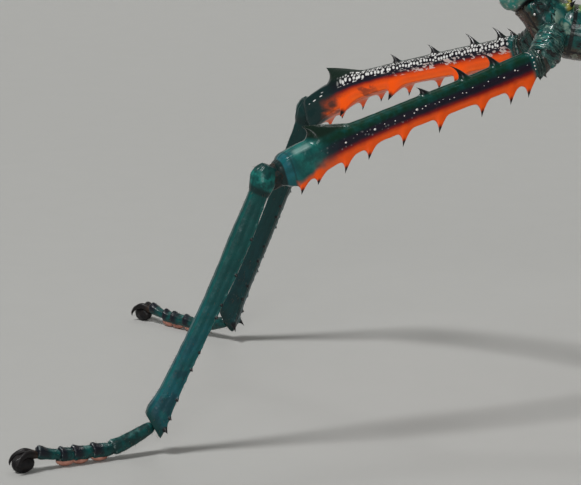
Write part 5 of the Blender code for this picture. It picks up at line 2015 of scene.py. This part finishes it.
class MakeFeet(bpy.types.Operator):
    """Make the tarsi, their pads and the claws"""

    bl_idname = "insect.feet"
    bl_label = "Feet"
    bl_options = {"REGISTER", "UNDO"}

    def execute(self, context):
        for name in LEGS:
            piece("foot_" + name, foot_shells(name), foot_shell(), "tarsus_shell", "tarsus_" + name)
            piece("claws_" + name, claw_shells(name), claw_horn(), "claw", "pretarsus_" + name)
        return {"FINISHED"}


class MakeGranules(bpy.types.Operator):
    """Scatter granules over the collar, head, hips and thorax"""

    bl_idname = "insect.granules"
    bl_label = "Granules"
    bl_options = {"REGISTER", "UNDO"}

    def execute(self, context):
        head = head_skin()
        head.growth *= 0.35
        shells = [prothorax_skin().shell(), head.shell()]
        shells += [trunk_skin(name).shell() for name in ("mesothorax", "metathorax")]
        shells += [skin.shell() for name in LEGS for skin in hip_skins(name)]
        values = dict(Density=GRANULES, Radius=shape().granule_size, Seed=SEED)
        values["Material"] = granule_horn()
        ground = joined_mesh("granule_ground", shells)
        tree_piece("granules", ground, "granules", values, "thorax_shell")
        return {"FINISHED"}


class MakeBristles(bpy.types.Operator):
    """Scatter bristles over the shins, feet and tail"""

    bl_idname = "insect.bristles"
    bl_label = "Bristles"
    bl_options = {"REGISTER", "UNDO"}

    def execute(self, context):
        shins = [shin_skin(name).shell() for name in LEGS]
        feet = [shell for name in LEGS for shell in foot_shells(name)]
        values = {
            "Density": LEG_BRISTLES,
            "Length": shape().bristle_length,
            "Width": shape().bristle_width / 2,
            "Lean": BRISTLE_LEAN,
            "Seed": SEED,
            "Material": bristle_horn(),
        }
        ground = joined_mesh("leg_ground", shins + feet)
        tree_piece("leg_bristles", ground, "bristles", values, "leg_shell")
        tail = [cercus_skin(side).shell() for side in (1, -1)] + [plate_skin().shell()]
        values.update(Length=shape().bristle_length * 1.2, Density=TAIL_BRISTLES)
        ground = joined_mesh("tail_ground", tail)
        tree_piece("tail_bristles", ground, "bristles", values, "abdomen_shell")
        return {"FINISHED"}


class MakeStage(bpy.types.Operator):
    """Make the plain floor, the soft lights and the camera"""

    bl_idname = "insect.stage"
    bl_label = "Floor, lights and camera"
    bl_options = {"REGISTER", "UNDO"}

    def execute(self, context):
        self.make_floor()
        self.make_lights()
        self.make_camera()
        return {"FINISHED"}

    def make_floor(self):
        """A level floor that curves up into a backdrop far behind."""
        profile = [(1.6, 0.0), (-0.8, 0.0)]
        turns = np.linspace(0.1, 1.5, 12)
        profile += [(-0.8 - 0.5 * math.sin(a), 0.5 - 0.5 * math.cos(a)) for a in turns]
        profile.append((-1.35, 2.2))
        points = [(x, y, z) for x, z in profile for y in (-2.6, 2.6)]
        faces = [(k, k + 1, k + 3, k + 2) for k in range(0, len(points) - 2, 2)]
        mesh = bpy.data.meshes.new("floor")
        mesh.from_pydata(points, [], faces)
        mesh.polygons.foreach_set("use_smooth", np.ones(len(faces), dtype=bool))
        if mesh.polygons[0].normal.z < 0:
            mesh.flip_normals()
        mesh.materials.append(plain_floor())
        floor = bpy.data.objects.new("floor", mesh)
        bpy.context.scene.collection.objects.link(floor)

    def make_lights(self):
        """An even, faint world, a little brighter to the camera, and three soft suns."""
        world = bpy.data.worlds.new("studio")
        bpy.context.scene.world = world
        world.use_nodes = True
        nodes = Nodes(world.node_tree)
        seen = nodes.add("ShaderNodeLightPath").outputs["Is Camera Ray"]
        strength = nodes.value("MULTIPLY_ADD", seen, BACKDROP_LIGHT, WORLD_LIGHT)
        background = world.node_tree.nodes["Background"]
        background.inputs["Color"].default_value = WORLD_COLOUR
        world.node_tree.links.new(strength, background.inputs["Strength"])
        bpy.context.scene.view_settings.view_transform = "Standard"
        for name, toward, spread, part in LIGHTS:
            light = bpy.data.lights.new(name, "SUN")
            light.angle = math.radians(spread)
            light.energy = part * (stage().fill_power if name == "fill" else stage().key_power)
            ob = bpy.data.objects.new(name, light)
            ob.location = Vector(toward) * 0.5
            ob.rotation_euler = Vector(toward).to_track_quat("Z", "Y").to_euler()
            bpy.context.scene.collection.objects.link(ob)

    def make_camera(self):
        camera = bpy.data.cameras.new("camera")
        camera.lens = stage().lens
        camera.clip_start = 0.01
        camera.clip_end = 20.0
        ob = bpy.data.objects.new("camera", camera)
        ob.location = CAMERA_PLACE
        ob.rotation_euler = (Vector(CAMERA_AIM) - ob.location).to_track_quat("-Z", "Y").to_euler()
        bpy.context.scene.collection.objects.link(ob)
        bpy.context.scene.camera = ob


class InsectPanel(bpy.types.Panel):
    """Lists the settings and the pieces"""

    bl_idname = "VIEW3D_PT_insect"
    bl_label = "Giant stick insect"
    bl_space_type = "VIEW_3D"
    bl_region_type = "UI"
    bl_category = "Insect"

    def draw(self, context):
        layout = self.layout
        for settings in (shape(), colours(), stage()):
            box = layout.box()
            for name in settings.bl_rna.properties.keys():
                if name not in ("rna_type", "name"):
                    box.prop(settings, name)
        for operator in OPERATORS:
            layout.operator(operator.bl_idname)


SETTINGS = {
    "insect_shape": InsectShape,
    "insect_colours": InsectColours,
    "insect_stage": InsectStage,
}
OPERATORS = (
    MakeStage,
    MakeTrunk,
    MakeTail,
    MakeWings,
    MakeForebody,
    MakeFace,
    MakeFeelers,
    MakeLegs,
    MakeFeet,
    MakeGranules,
    MakeBristles,
)


def register():
    for cls in (*SETTINGS.values(), *OPERATORS, InsectPanel):
        bpy.utils.register_class(cls)
    for name, group in SETTINGS.items():
        setattr(bpy.types.Scene, name, bpy.props.PointerProperty(type=group))


def unregister():
    for name in SETTINGS:
        delattr(bpy.types.Scene, name)
    for cls in (InsectPanel, *OPERATORS[::-1], *SETTINGS.values()):
        bpy.utils.unregister_class(cls)


def main():
    register()
    for operator in OPERATORS:
        space, action = operator.bl_idname.split(".")
        getattr(getattr(bpy.ops, space), action)()


if __name__ == "__main__":
    main()
